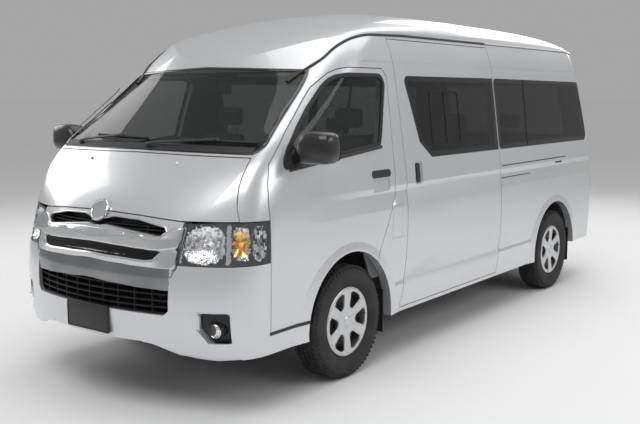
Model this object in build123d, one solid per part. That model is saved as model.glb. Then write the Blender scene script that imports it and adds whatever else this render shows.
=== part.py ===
"""Passenger van: one STEP file per named piece.

Millimetres. Z is up, the front faces -Y, +X is the vehicle's left side, and the
origin is on the ground under the middle of the van. Lengths along the vehicle are
given as distances behind the front bumper and turned into Y by back().
"""
import math
import os

from build123d import *

os.makedirs("parts", exist_ok=True)

# ---- overall size -------------------------------------------------------------
LENGTH = 5380.0
WIDTH = 1880.0
HEIGHT = 2285.0

# ---- running gear -------------------------------------------------------------
FRONT_OVERHANG = 1213.2
WHEELBASE = 3115.0
TYRE_DIAMETER = 690.0
TYRE_WIDTH = 195.0
RIM_DIAMETER = 400.0
TRACK = 1652.5
ARCH_RADIUS = TYRE_DIAMETER / 2 + 85.0
FLARE_RUN = 130.0
KINGPIN_INSET = 95.0
HUB_BORE = 60.0
SPINDLE_CLEARANCE = 0.05

# ---- shell --------------------------------------------------------------------
FAR = WIDTH
WALL = 50.0
GLASS_INSET = 3.0
GLASS_THICKNESS = 5.0
PANEL_GAP = 5.0
SEAT_GAP = 0.3
BONNET_THICKNESS = 28.0
GRILLE_SETBACK = 18.0

FRONT_AXLE = FRONT_OVERHANG
REAR_AXLE = FRONT_OVERHANG + WHEELBASE
AXLE_Z = TYRE_DIAMETER / 2

# The tables below hold the proportions of the standard body; these three factors
# carry them over to another overall size.
LONG = LENGTH / 5380.0
WIDE = WIDTH / 1880.0
TALL = HEIGHT / 2285.0

# Lines of the body skin by height: half width, nose and tail distance back, depth of
# the front bow, and the run of the front corner across and along the vehicle.
SKIN_HEIGHTS = (240, 400, 560, 740, 920, 1070, 1220, 1375, 1600, 1760, 1920, 2090, 2340)
SKIN_LINES = {
    "half": (920, 926, 930, 933, 935, 934, 922, 904, 878, 858, 833, 772, 660),
    "nose": (60, 12, 0, 6, 50, 118, 228, 385, 651, 840, 1028, 1229, 1525),
    "tail": (5350, 5368, 5378, 5380, 5376, 5364, 5336, 5302, 5224, 5174, 5133, 5098, 5050),
    "bow": (108, 110, 110, 110, 110, 108, 104, 102, 144, 158, 160, 156, 140),
    "corner": (300, 308, 310, 310, 300, 260, 165, 104, 108, 114, 118, 120, 124),
    "corner_back": (320, 328, 330, 330, 320, 300, 270, 275, 300, 302, 306, 320, 340),
}
SKIN_STEPS = 15
REAR_CORNER = 200.0
REAR_BOW = 42.0

# distance back and height of the roof's middle line and of the gutter beside it
CROWN_LINE = [(840, 1790), (970, 1875), (1210, 2022), (1600, 2168), (2000, 2250), (2500, 2284), (3400, 2285),
              (4300, 2272), (4700, 2242), (4950, 2178), (5120, 2075), (5460, 1800)]
GUTTER_LINE = [(840, 1720), (1010, 1800), (1210, 1934), (1400, 2042), (1600, 2082), (2000, 2092),
               (4800, 2092), (5060, 2070), (5460, 1990)]
GUTTER_HALF = 748
ROOF_STEPS = 16

# Outlines seen from the side: (distance back, height).
FRONT_DOOR = [
    (468, 440), (468, 1140), (486, 1240), (524, 1335), (600, 1405), (700, 1494), (818, 1588),
    (914, 1667), (1004, 1740), (1098, 1797), (1152, 1827), (1222, 1850), (1307, 1861),
    (1655, 1861), (1700, 1816), (1700, 1075), (1650, 985), (1605, 890), (1500, 700), (1400, 440),
]
FRONT_WINDOW = [
    (625, 1314), (1560, 1398), (1662, 1784), (1625, 1818), (1285, 1818), (1190, 1807),
    (1134, 1788), (1070, 1749), (903, 1620), (790, 1522), (672, 1407), (630, 1350),
]
SLIDING_DOOR = [(1765, 330), (1792, 400), (1840, 640), (1854, 850), (1846, 1100), (1815, 1700), (1795, 2052),
                (3198, 2052), (3208, 1700), (3222, 1100), (3242, 850), (3238, 640), (3200, 400), (3190, 330)]
SLIDING_PANE = [(1899, 1822), (3200, 1822), (3213, 1283), (2185, 1283), (2040, 1390)]
QUARTER_PANE = [(3226, 1283), (3213, 1822), (4966, 1812), (5066, 1335), (5030, 1283)]
RIGHT_PANE = [(1899, 1822), (4966, 1812), (5066, 1335), (5030, 1283), (2185, 1283), (2040, 1390)]
PANE_LAP = 38.0
PANE_CORNER = 40.0
FUEL_LID = [(1668, 793), (1668, 1007), (1786, 1007), (1786, 793)]
RAIL_COVER = (3228, 4530, 1052, 1158)
SLIDING_POCKET = (1950, 2045, 1116, 1264)
HANDLE_POCKET = (1450, 1640, 1105, 1186)
HANDLE = (1444, 1650, 1190, 1240)
POCKET_DEPTH = 12.0

# Pressed lines along the sides: heights of the upper edge, the valley and the lower
# edge, its depth, and the distances back where it starts, is full, and ends.
WAIST_LINE = {"heights": (1130, 1092, 985), "depth": 8.0, "run": (800, 1750, 5080, 5230)}
ROOF_LINE = {"heights": (1912, 1900, 1862), "depth": 2.5, "run": (1200, 1500, 4980, 5100)}
SILL_LINE = {"heights": (505, 482, 300), "depth": -7.0, "run": (1560, 1760, 3800, 3960)}

# Outlines seen from the front or the rear: (half width, height).
WINDSCREEN_HALF = [(0, 1392), (786, 1385), (822, 1428), (770, 1590), (735, 1780), (712, 1846), (0, 1870)]
BONNET_HALF = [(0, 1076), (300, 1066), (560, 1048), (850, 1052), (826, 1127), (808, 1227), (800, 1309), (790, 1366), (0, 1376)]
LAMP_HALF = [(592, 826), (572, 900), (588, 1034), (760, 1046), (1000, 1046), (1000, 826)]
NOSE_HALF = [(0, 764), (560, 764), (580, 820), (566, 900), (580, 1040), (300, 1060), (0, 1070)]
UPPER_SLOT = [(0, 990), (70, 1000), (200, 988), (455, 962), (500, 975), (480, 1010), (300, 1040), (120, 1046), (70, 1034), (0, 1020)]
MIDDLE_SLOT = [(0, 866), (430, 856), (476, 862), (462, 912), (300, 928), (0, 934)]
TAILGATE_HALF = [(0, 610), (715, 610), (735, 700), (735, 1300), (665, 2040), (0, 2066)]
TAILGATE_WINDOW_HALF = [(0, 1300), (640, 1300), (600, 1850), (0, 1870)]
TAIL_LAMP_HALF = [(748, 800), (748, 1230), (1000, 1230), (1000, 800)]


def back(distance):
    return (distance - LENGTH / 2 / LONG) * LONG


def value_on(line, place):
    """Value of a smooth line through the given points, at one place along it."""
    last = len(line) - 2
    i = min(max(k for k in range(len(line)) if line[k][0] <= place), last)
    before = line[max(i - 1, 0)]
    start, end = line[i], line[i + 1]
    after = line[min(i + 2, last + 1)]
    span = end[0] - start[0]
    t = (place - start[0]) / span
    rise_in = (end[1] - before[1]) / (end[0] - before[0]) * span
    rise_out = (after[1] - start[1]) / (after[0] - start[0]) * span
    ease = t * t * (3 - 2 * t)
    swing = t * (1 - t) * ((1 - t) * rise_in - t * rise_out)
    return start[1] + (end[1] - start[1]) * ease + swing


def plan_section(height, inset):
    """Closed plan of the body skin at one height: nose, corners, sides and tail."""
    skin = {name: value_on(list(zip(SKIN_HEIGHTS, line)), height) for name, line in SKIN_LINES.items()}
    z = height * TALL
    bow = skin["bow"]
    corner = skin["corner"]
    corner_back = skin["corner_back"]
    half = skin["half"] * WIDE - inset
    nose_y = back(skin["nose"]) + inset
    tail_y = back(skin["tail"]) - inset
    front_x = half - corner * WIDE
    front_y = nose_y + bow
    side_front = front_y + corner_back
    rear_x = half - REAR_CORNER
    rear_y = tail_y - REAR_BOW
    side_rear = rear_y - REAR_CORNER
    lean = 2 * bow / front_x
    reach = 0.55 * corner
    reach_back = 0.6 * corner_back
    rear_lean = 2 * REAR_BOW / rear_x
    rear_reach = 0.55 * REAR_CORNER

    def front_corner(side):
        return Bezier((side * front_x, front_y),
                      (side * (front_x + reach), front_y + lean * reach),
                      (side * half, side_front - reach_back),
                      (side * half, side_front))

    def rear_corner(side):
        return Bezier((side * half, side_rear),
                      (side * half, side_rear + rear_reach),
                      (side * (rear_x + rear_reach), rear_y - rear_lean * rear_reach),
                      (side * rear_x, rear_y))

    edges = [
        ThreePointArc((-front_x, front_y), (0, nose_y), (front_x, front_y)),
        front_corner(1),
        Line((half, side_front), (half, side_rear)),
        rear_corner(1),
        ThreePointArc((rear_x, rear_y), (0, tail_y), (-rear_x, rear_y)),
        rear_corner(-1),
        Line((-half, side_rear), (-half, side_front)),
        front_corner(-1),
    ]
    return Pos(0, 0, z) * make_face(Wire(edges))


def dome_section(station, inset):
    """Closed cross section of the roof dome between its gutters."""
    crown = value_on(CROWN_LINE, station) * TALL - inset
    gutter = value_on(GUTTER_LINE, station) * TALL - inset
    half = GUTTER_HALF * WIDE - inset
    low = HEIGHT * 0.05
    rise = crown - gutter

    def dome(side):
        return Bezier((side * half, gutter), (side * (half - 6), gutter + 0.62 * rise),
                      (side * half * 0.58, crown), (0, crown))

    edges = [
        Line((-half, low), (half, low)),
        Line((half, low), (half, gutter)),
        dome(1),
        dome(-1),
        Line((-half, gutter), (-half, low)),
    ]
    plane = Plane(origin=(0, back(station), 0), x_dir=(1, 0, 0), z_dir=(0, -1, 0))
    return plane * make_face(Wire(edges))


def body_form(inset):
    """Solid inside the body skin, moved inwards by inset."""
    bottom, top = SKIN_HEIGHTS[0], SKIN_HEIGHTS[-1]
    heights = [bottom + (top - bottom) * k / SKIN_STEPS for k in range(SKIN_STEPS + 1)]
    skin = loft([plan_section(height, inset) for height in heights])
    first, last = CROWN_LINE[0][0], CROWN_LINE[-1][0]
    stations = [first + (last - first) * k / ROOF_STEPS for k in range(ROOF_STEPS + 1)]
    dome = loft([dome_section(station, inset) for station in stations])
    low = HEIGHT * 0.05
    curve = [(back(d), h * TALL - inset) for d, h in GUTTER_LINE]
    shoulder = make_face(Wire([Spline(*curve), Line(curve[-1], (curve[-1][0], low)),
                               Line((curve[-1][0], low), (curve[0][0], low)), Line((curve[0][0], low), curve[0])]))
    across_plane = Plane(origin=(-FAR, 0, 0), x_dir=(0, 1, 0), z_dir=(1, 0, 0))
    shoulder = extrude(across_plane * shoulder, amount=2 * FAR)
    front = Pos(0, back(first + 1) - 1000, HEIGHT * 0.6) * Box(WIDTH * 1.4, 2000, HEIGHT * 1.2)
    return skin & (dome + shoulder + front)


def side_outline(points, x0, x1, radius=0.0):
    """Prism across the vehicle from an outline seen from the side."""
    flat = [(back(d), h * TALL) for d, h in points]
    face = make_face(Polyline(*flat, close=True))
    if radius:
        face = fillet(face.vertices(), radius)
    plane = Plane(origin=(x0, 0, 0), x_dir=(0, 1, 0), z_dir=(1, 0, 0))
    return extrude(plane * face, amount=x1 - x0)


def end_face(half_points, radius=0.0, both=False):
    """Flat face from an outline seen from the front, mirrored where both is true."""
    flat = [(x * WIDE, h * TALL) for x, h in half_points]
    if both:
        flat = flat + [(-x, z) for x, z in reversed(flat) if x != 0]
    face = make_face(Polyline(*flat, close=True))
    if radius:
        face = fillet(face.vertices().filter_by(lambda v: abs(v.X) > 1), radius)
    return face


def end_prism(face, d0, d1):
    plane = Plane(origin=(0, back(d0), 0), x_dir=(1, 0, 0), z_dir=(0, -1, 0))
    return extrude(plane * face, amount=-(back(d1) - back(d0)))


def end_outline(half_points, d0, d1, radius=0.0, both=True):
    """Prism along the vehicle from an outline seen from the front."""
    return end_prism(end_face(half_points, radius, both), d0, d1)


def block(x0, x1, d0, d1, z0, z1, radius=0.0):
    """Box between two corners, lengths given as distances behind the bumper."""
    y0 = back(d0)
    y1 = back(d1)
    solid = Pos((x0 + x1) / 2, (y0 + y1) / 2, (z0 + z1) / 2) * Box(x1 - x0, y1 - y0, z1 - z0)
    if radius:
        solid = fillet(solid.edges(), radius)
    return solid


def across(radius, x0, x1, y, z):
    """Cylinder lying across the vehicle."""
    return Pos((x0 + x1) / 2, y, z) * Rot(0, 90, 0) * Cylinder(radius, x1 - x0)


def rod(start, end, radius):
    """Round bar between two points."""
    line = Line(start, end)
    return sweep(Plane(origin=start, z_dir=line % 0) * Circle(radius), path=line)


def mirrored(shape):
    return mirror(shape, about=Plane.YZ)


def grown(points, amount):
    """Outline moved outwards by amount, all corners keeping their order."""
    scaled = [(back(d), h * TALL) for d, h in points]
    face = offset(make_face(Polyline(*scaled, close=True)), amount=amount, kind=Kind.INTERSECTION)
    return face


def side_face_prism(face, x0, x1):
    plane = Plane(origin=(x0, 0, 0), x_dir=(0, 1, 0), z_dir=(1, 0, 0))
    return extrude(plane * face, amount=x1 - x0)


def biggest(shape, count=1):
    """The largest solids of a cut, leaving slivers out."""
    ordered = sorted(shape.solids(), key=lambda s: -s.volume)[:count]
    return Compound(children=ordered) if count > 1 else ordered[0]


def save(name, *shapes):
    solids = []
    for shape in shapes:
        solids = solids + list(shape.solids())
    export_step(Compound(children=solids), os.path.join("parts", name + ".step"))


# ---- skin and shell -------------------------------------------------------------


def wheel_centres():
    return [back(FRONT_AXLE / LONG), back(REAR_AXLE / LONG)]


def flare(y):
    """Cone that swells the side round one wheel, before the arch is cut."""
    base = WIDTH / 2 - 16
    outer = ARCH_RADIUS + FLARE_RUN
    tip = ARCH_RADIUS + 12
    cone = Cone(outer, tip, WIDTH / 2 - base)
    return Pos((base + WIDTH / 2) / 2, y, AXLE_Z) * Rot(0, 90, 0) * cone


def half_width(height):
    return value_on(list(zip(SKIN_HEIGHTS, SKIN_LINES["half"])), height) * WIDE


def pressed_line(heights, depth, run):
    """Wedge along the left side: cut away for a valley, or added where depth is negative."""
    upper, middle, lower = heights
    outside = 24.0 if depth > 0 else -24.0

    def section(station, sunk):
        corners = [(half_width(upper), upper), (half_width(middle) - sunk, middle), (half_width(lower), lower),
                   (half_width(lower) + outside, lower), (half_width(upper) + outside, upper)]
        plane = Plane(origin=(0, back(station), 0), x_dir=(1, 0, 0), z_dir=(0, -1, 0))
        return plane * make_face(Polyline(*[(x, z * TALL) for x, z in corners], close=True))

    start, full, fading, end = run
    nothing = 0.05 if depth > 0 else -0.05
    stations = [(start, nothing), (full, depth), (fading, depth), (end, nothing)]
    return loft([section(station, sunk) for station, sunk in stations], ruled=True)


def outer_form():
    body = body_form(0)
    for line in (WAIST_LINE, ROOF_LINE):
        valley = pressed_line(**line)
        body = body - valley - mirrored(valley)
    ledge = pressed_line(**SILL_LINE)
    body = body + ledge + mirrored(ledge)
    for y in wheel_centres():
        lobe = flare(y) & block(WIDTH / 4, FAR, 0, LENGTH / LONG, 300 * TALL, HEIGHT)
        body = body + lobe + mirrored(lobe)
    return body


def arch_cutters(radius, x0):
    cutters = []
    for y in wheel_centres():
        tunnel = across(radius, x0, FAR, y, AXLE_Z)
        cutters.append(tunnel)
        cutters.append(mirrored(tunnel))
    return cutters


OUTER = outer_form()
INNER = body_form(WALL)
GLASS_OUT = body_form(GLASS_INSET)
GLASS_IN = body_form(GLASS_INSET + GLASS_THICKNESS)
GLASS_LAYER = GLASS_OUT - GLASS_IN
GLASS_SEAT = body_form(GLASS_INSET + GLASS_THICKNESS + SEAT_GAP)
POCKET_FLOOR = body_form(POCKET_DEPTH)
GRILLE_FRONT = body_form(GRILLE_SETBACK)

SILL_Z = 300 * TALL
SHELL = OUTER - INNER - block(-FAR, FAR, -100, 6000, 0, SILL_Z)
for cutter in arch_cutters(ARCH_RADIUS, 0.25 * WIDTH):
    SHELL = SHELL - cutter

HALF_GAP = PANEL_GAP / 2



# ---- where the shell is divided ---------------------------------------------------
DOOR_INNER_X = 0.395 * WIDTH
SEAM = 4.0
ROOF_SEAM = [(d, h - 1) for d, h in GUTTER_LINE] + [(5460, 2600), (840, 2600)]
BUMPER_TOP = 822
DOOR_FRONT = FRONT_DOOR[0][0]
FRONT_BUMPER = [(-100, 200), (800, 200), (800, 436), (DOOR_FRONT - SEAM, 436),
                (DOOR_FRONT - SEAM, BUMPER_TOP), (-100, BUMPER_TOP)]
REAR_BUMPER = [(4700, 200), (4700, 600), (5500, 600), (5500, 200)]
GRILLE_SLOT = [(0, 562), (520, 556), (548, 580), (552, 738), (0, 746)]
FOG_RECESS = [(690, 500), (690, 582), (850, 582), (850, 392), (768, 392)]
FOG_CENTRE = (776, 486)
FOG_RADIUS = 38.0
FOG_BEZEL = 28.0
FOG_FACE = 8.0
FRONT_SPLIT = 1120


def shut_line(points, x0=None):
    """Cutter for a panel's opening: its outline plus the shut gap."""
    inside = DOOR_INNER_X if x0 is None else x0
    return side_face_prism(grown(points, PANEL_GAP), inside, FAR)


SHUT_STATION = 3150


def glazing(outline, first, last):
    """Pane, rebate and opening of a bonded window; corners between two stations are rounded."""
    face = make_face(Polyline(*[(back(d), h * TALL) for d, h in outline], close=True))
    rounded = face.vertices().filter_by(lambda v: back(first) < v.X < back(last))
    face = fillet(rounded, PANE_CORNER)
    opening = side_face_prism(offset(face, amount=-PANE_LAP), DOOR_INNER_X, FAR)
    prism = side_face_prism(face, DOOR_INNER_X, FAR)
    return biggest(GLASS_LAYER & prism), (prism - GLASS_SEAT) + opening, opening


def pocket(d0, d1, z0, z1):
    """Hand hole pressed into the left side, round ended."""
    prism = block(DOOR_INNER_X, FAR, d0, d1, z0 * TALL, z1 * TALL)
    prism = fillet(prism.edges().filter_by(Axis.X), 18)
    return prism - POCKET_FLOOR


def groove(d0, d1, z0, z1):
    """Narrow seam in the left side, as deep as a pane's rebate."""
    return block(DOOR_INNER_X, FAR, d0, d1, z0 * TALL, z1 * TALL) - GLASS_SEAT


def widened(half_points, amount):
    """Symmetric end outline pushed outwards by amount."""
    low = min(z for x, z in half_points)
    high = max(z for x, z in half_points)
    middle = (low + high) / 2
    return [(x + (amount if x else 0), z + (amount if z > middle else -amount))
            for x, z in half_points]


door_shape = side_outline(FRONT_DOOR, DOOR_INNER_X, FAR)
door_hole = shut_line(FRONT_DOOR)
slide_shape = side_outline(SLIDING_DOOR, DOOR_INNER_X, FAR)
slide_hole = shut_line(SLIDING_DOOR)
window_shape = side_outline(FRONT_WINDOW, DOOR_INNER_X, FAR, radius=22)
slide_pane, slide_rebate, slide_window = glazing(SLIDING_PANE, 0, SHUT_STATION)
quarter_pane, quarter_rebate, quarter_window = glazing(QUARTER_PANE, SHUT_STATION, LENGTH)
right_pane, right_rebate, right_window = [mirrored(part) for part in glazing(RIGHT_PANE, 0, LENGTH)]
screen_shape = end_outline(WINDSCREEN_HALF, -100, 1300, radius=18)
bonnet_shape = end_outline(BONNET_HALF, -100, 700)
bonnet_hole = end_outline(widened(BONNET_HALF, PANEL_GAP), -100, 700)
nose_shape = end_outline(NOSE_HALF, -100, 400)
nose_hole = end_outline([(0, NOSE_HALF[0][1] - SEAM), (NOSE_HALF[1][0] + SEAM, NOSE_HALF[0][1] - SEAM),
                         (NOSE_HALF[2][0] + SEAM, NOSE_HALF[2][1]), (NOSE_HALF[2][0] + SEAM, 1080), (0, 1080)], -100, 400)
lamp_left = end_outline(LAMP_HALF, -100, DOOR_FRONT - SEAM, both=False)
lamp_hole = end_outline([(540, 780), (540, 1050), (1000, 1050), (1000, 780)], -100, DOOR_FRONT, both=False)
bumper_shape = side_outline(FRONT_BUMPER, -FAR, FAR)
gate_shape = end_outline(TAILGATE_HALF, 4900, 5500)
gate_hole = end_outline(widened(TAILGATE_HALF, PANEL_GAP), 4900, 5500)
gate_window = end_outline(TAILGATE_WINDOW_HALF, 4900, 5500, radius=45)
tail_lamp = end_outline(TAIL_LAMP_HALF, 5180, 5500, both=False)
rear_bumper_shape = side_outline(REAR_BUMPER, -FAR, FAR)
roof_shape = side_outline(ROOF_SEAM, -GUTTER_HALF * WIDE, GUTTER_HALF * WIDE)

# ---- outer panels -----------------------------------------------------------------
door_left = biggest((SHELL & door_shape) - window_shape - pocket(*HANDLE_POCKET))
door_glass_left = biggest(GLASS_LAYER & window_shape)
sliding_door = biggest((SHELL & slide_shape) - slide_rebate - pocket(*SLIDING_POCKET))
windscreen = biggest((GLASS_LAYER & screen_shape) - door_hole - mirrored(door_hole))

bonnet_inner = body_form(BONNET_THICKNESS)
bonnet = biggest((OUTER & bonnet_shape) - bonnet_inner)
slots = end_outline(UPPER_SLOT, -100, 400) + end_outline(MIDDLE_SLOT, -100, 400)
nose = biggest((SHELL & nose_shape) - slots)
front_lamp = biggest((SHELL & lamp_left))
front_bumper = (SHELL & bumper_shape) - nose_hole - end_outline(GRILLE_SLOT, -100, 300)
front_bumper = front_bumper - block(-FAR, FAR, -100, 300, 0, 400 * TALL)
gate = biggest((SHELL & gate_shape & block(-FAR, FAR, 4900, 5500, 0, HEIGHT)) - gate_window)
gate_glass = biggest(GLASS_LAYER & gate_window)
rear_lamp = biggest(SHELL & tail_lamp)
rear_bumper = (SHELL & rear_bumper_shape) - block(-FAR, FAR, 4600, 5600, 0, 360 * TALL)

fog_hole = end_outline(FOG_RECESS, -100, 400, radius=14, both=False)
fog_plug = end_prism(offset(end_face(FOG_RECESS, 14), amount=-SEAT_GAP), -100, 400)
fog_barrel = Pos(FOG_CENTRE[0] * WIDE, back(150), FOG_CENTRE[1] * TALL) * Rot(90, 0, 0) * Cylinder(FOG_RADIUS, 500)
fog_lamp = biggest((SHELL & body_form(FOG_BEZEL) & fog_plug) + (SHELL & body_form(FOG_FACE) & fog_barrel))
front_bumper = front_bumper - fog_hole - mirrored(fog_hole)


def lattice(half_points, rim, bar, rows, columns):
    """Grille set in an opening: a rim, bars across it and thinner uprights."""
    edge = offset(end_face(half_points, 0, both=True), amount=-SEAT_GAP)
    opening = offset(edge, amount=-rim)
    sheet = end_prism(edge, -100, 400) - end_prism(opening, -100, 400)
    clear = end_prism(opening, -100, 400)
    for z in rows:
        sheet = sheet + (block(-FAR, FAR, -100, 400, z * TALL - bar / 2, z * TALL + bar / 2) & clear)
    for x in columns:
        sheet = sheet + (block(x * WIDE - bar / 3, x * WIDE + bar / 3, -100, 400, 0, HEIGHT) & clear)
    return biggest((sheet & GRILLE_FRONT) - INNER)


LOWER_ROWS = [594, 628, 662, 696, 728]
LOWER_COLUMNS = [110 * k for k in range(-4, 5)]
MIDDLE_ROWS = [876, 895, 914]
UPPER_ROWS = [990, 1008]
grilles = [lattice(GRILLE_SLOT, 10, 9, LOWER_ROWS, LOWER_COLUMNS),
           lattice(MIDDLE_SLOT, 5, 6, MIDDLE_ROWS, [-360, 0, 360]),
           lattice(UPPER_SLOT, 5, 6, UPPER_ROWS, [-360, 0, 360])]

frame = SHELL - door_hole - mirrored(door_hole) - slide_hole
frame = frame - quarter_rebate - right_rebate - screen_shape
frame = frame - bonnet_hole - nose_shape - lamp_hole - mirrored(lamp_hole)
frame = frame - bumper_shape - gate_hole - tail_lamp - mirrored(tail_lamp) - rear_bumper_shape
frame = frame - block(-FAR, FAR, -100, DOOR_FRONT, 0, 1050 * TALL)
roof = biggest(frame & roof_shape)
frame = frame - roof_shape
front_frame = biggest(frame & block(-FAR, FAR, -100, FRONT_SPLIT, 500, HEIGHT * 1.1))
side_region = block(0, FAR, FRONT_SPLIT, 5600, 0, HEIGHT * 1.1)
side_left = biggest(frame & side_region)
side_right = biggest(frame & mirrored(side_region))


SEAM_WIDTH = 4.0
rail_start, rail_end, rail_low, rail_high = RAIL_COVER
for seam_z in (rail_low, rail_high):
    side_left = side_left - groove(rail_start - PANEL_GAP, rail_end, seam_z, seam_z + SEAM_WIDTH)
side_left = biggest(side_left)

fuel_face = grown(FUEL_LID, -2.0)
fuel_recess = body_form(18)
fuel_ring = side_face_prism(grown(FUEL_LID, 0.0), DOOR_INNER_X, FAR) - fuel_recess
side_left = biggest(side_left - fuel_ring)
fuel_lid = biggest((OUTER - body_form(8)) & side_face_prism(fuel_face, DOOR_INNER_X, FAR))

# ---- floor and frame ---------------------------------------------------------------
FLOOR_Z = 500 * TALL
FLOOR_SHEET = 30.0
RAIL_X = 400 * WIDE
RAIL_WIDTH = 80.0
RAIL_DEPTH = 90.0
RAIL_TOP = FLOOR_Z
HOUSING_SHEET = 14.0
FRONT_HOUSING_X = 535 * WIDE
REAR_HOUSING_X = 600 * WIDE
FIREWALL = 640
DOOR_CLEAR = 12.0
FLOOR_TAIL = 5270

door_clearance = side_face_prism(grown(FRONT_DOOR, DOOR_CLEAR), WIDTH / 2 - WALL - 60 * WIDE, FAR)
gate_clearance = block(-FAR, FAR, FLOOR_TAIL, 5600, 0, HEIGHT)


def clear_of_doors(shape):
    return shape - door_clearance - mirrored(door_clearance) - gate_clearance


def housing(y, inner_x):
    shell = across(ARCH_RADIUS + HOUSING_SHEET, inner_x, FAR, y, AXLE_Z)
    hollow = across(ARCH_RADIUS, inner_x + HOUSING_SHEET, FAR, y, AXLE_Z)
    half = shell - hollow
    return half & block(0, FAR, -100, 5600, AXLE_Z + 55, HEIGHT) & INNER


COVER_X = 270 * WIDE
COVER = (700, 1420)
COVER_TOP = 890 * TALL
FIREWALL_SHEET = 25.0
floor = INNER & block(-FAR, FAR, FIREWALL, 5600, FLOOR_Z, FLOOR_Z + FLOOR_SHEET)
firewall = INNER & block(-FAR, FAR, FIREWALL, FIREWALL + FIREWALL_SHEET,
                         FLOOR_Z + FLOOR_SHEET + SEAT_GAP, 1340 * TALL)
cover = block(-COVER_X, COVER_X, FIREWALL + FIREWALL_SHEET + SEAT_GAP, COVER[1],
              FLOOR_Z + FLOOR_SHEET + SEAT_GAP, COVER_TOP)
cover_hollow = block(-COVER_X + 18, COVER_X - 18, FIREWALL - 60, COVER[1] - 18, 0, COVER_TOP - 18)
engine_cover = cover - cover_hollow
arm_slot = block(480 * WIDE, 620 * WIDE, FRONT_AXLE / LONG - 170, FRONT_AXLE / LONG + 170, 0, FLOOR_Z - 8)
firewall = biggest(clear_of_doors(firewall) - cover_hollow)
housings = []
for y, inner_x in zip(wheel_centres(), (FRONT_HOUSING_X, REAR_HOUSING_X)):
    drum = across(ARCH_RADIUS + HOUSING_SHEET + SEAT_GAP, inner_x - SEAT_GAP, FAR, y, AXLE_Z)
    floor = floor - drum - mirrored(drum)
    left_housing = biggest(clear_of_doors(housing(y, inner_x)) - arm_slot)
    housings.append(left_housing)
    housings.append(mirrored(left_housing))
floor_pan = biggest(clear_of_doors(floor) - cover_hollow)

TIE_Z = (760 * TALL, 880 * TALL)
tie_band = INNER & block(-FAR, FAR, -100, DOOR_FRONT - 12, TIE_Z[0], TIE_Z[1])
tie_bar = tie_band - body_form(WALL + 55)
rails = []
for side in (-1, 1):
    x = side * RAIL_X
    rails.append(block(x - RAIL_WIDTH / 2, x + RAIL_WIDTH / 2, 250, 5230, RAIL_TOP - RAIL_DEPTH, RAIL_TOP))
    rails.append(block(x - RAIL_WIDTH / 2, x + RAIL_WIDTH / 2, 165, 250, RAIL_TOP - RAIL_DEPTH, TIE_Z[0] + 10))
chassis = tie_bar
for rail in rails:
    chassis = chassis + rail
CROSS_Z = (RAIL_TOP - RAIL_DEPTH, RAIL_TOP - 20)
for station in (1900, 2700, 3500, 4750, 5150):
    chassis = chassis + block(-RAIL_X, RAIL_X, station - 35, station + 35, CROSS_Z[0], CROSS_Z[1])
front_cross = block(-RAIL_X, RAIL_X, FRONT_AXLE / LONG - 70, FRONT_AXLE / LONG + 70, 290, CROSS_Z[1])
chassis = chassis + front_cross
rear_band = INNER & block(-FAR, FAR, 4900, 5600, 520 * TALL, 595 * TALL)
rear_band = rear_band - body_form(WALL + 50)
rear_posts = block(-RAIL_X - 40, -RAIL_X + 40, 5150, 5260, CROSS_Z[0], 560 * TALL)
chassis = chassis + rear_posts + mirrored(rear_posts)
rear_arms = block(-RAIL_X - 40, -RAIL_X + 40, 5180, 5300, 520 * TALL, 595 * TALL)
chassis = chassis + rear_arms + mirrored(rear_arms) + rear_band
chassis = chassis - block(-FAR, FAR, FIREWALL, 5300, FLOOR_Z, FLOOR_Z + FLOOR_SHEET)
TOW_RADIUS = 18.0
TOW_EYE = (5200, 328)
tow_ear = block(RAIL_X - 10, RAIL_X + 10, 5100, 5230, TOW_EYE[1] - 42, CROSS_Z[0] - SEAT_GAP)
tow_hole = across(TOW_RADIUS, RAIL_X - 50, RAIL_X + 50, back(TOW_EYE[0]), TOW_EYE[1])
tow_ear = tow_ear - tow_hole

ENGINE = (760, 1380)
engine = block(-225 * WIDE, 225 * WIDE, ENGINE[0], ENGINE[1], CROSS_Z[1], COVER_TOP - 30)

# ---- running gear --------------------------------------------------------------------
HALF_TRACK = TRACK / 2
KINGPIN_X = HALF_TRACK - KINGPIN_INSET
KINGPIN_RADIUS = 12.0
SPINDLE_RADIUS = HUB_BORE / 2 - SPINDLE_CLEARANCE
RIM_WIDTH = 150.0
WINDOW_COUNT = 6


def spin_profile(points):
    """Solid of revolution about the X axis through the origin, from (x, r) points."""
    face = make_face(Polyline(*[(x, r) for x, r in points], close=True))
    return revolve(face, Axis.X)


def wheel_rim():
    half = RIM_WIDTH / 2
    r = RIM_DIAMETER / 2
    barrel = spin_profile([(-half, r - 16), (-half, r + 8), (-half + 8, r + 8), (-half + 8, r - SEAT_GAP),
                           (half - 8, r - SEAT_GAP), (half - 8, r + 8), (half, r + 8), (half, r - 16)])
    disc = spin_profile([(8, 0), (8, r - 12), (46, r - 12), (46, 0.42 * r), (34, 0.38 * r), (30, 0)])
    hub = Pos(10, 0, 0) * Rot(0, 90, 0) * Cylinder(58, 70)
    rim = barrel + disc + hub
    corners = [(-0.08 * r, 0.46 * r), (0.08 * r, 0.46 * r), (0.27 * r, 0.88 * r), (-0.27 * r, 0.88 * r)]
    window = fillet(make_face(Polyline(*corners, close=True)).vertices(), 0.04 * r)
    opening = side_face_prism(window, -RIM_WIDTH / 2, RIM_WIDTH / 2)
    for i in range(WINDOW_COUNT):
        rim = rim - Rot(360 * i / WINDOW_COUNT + 30, 0, 0) * opening
    bore = Pos(-40, 0, 0) * Rot(0, 90, 0) * Cylinder(HUB_BORE / 2, 140)
    return rim - bore


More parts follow.
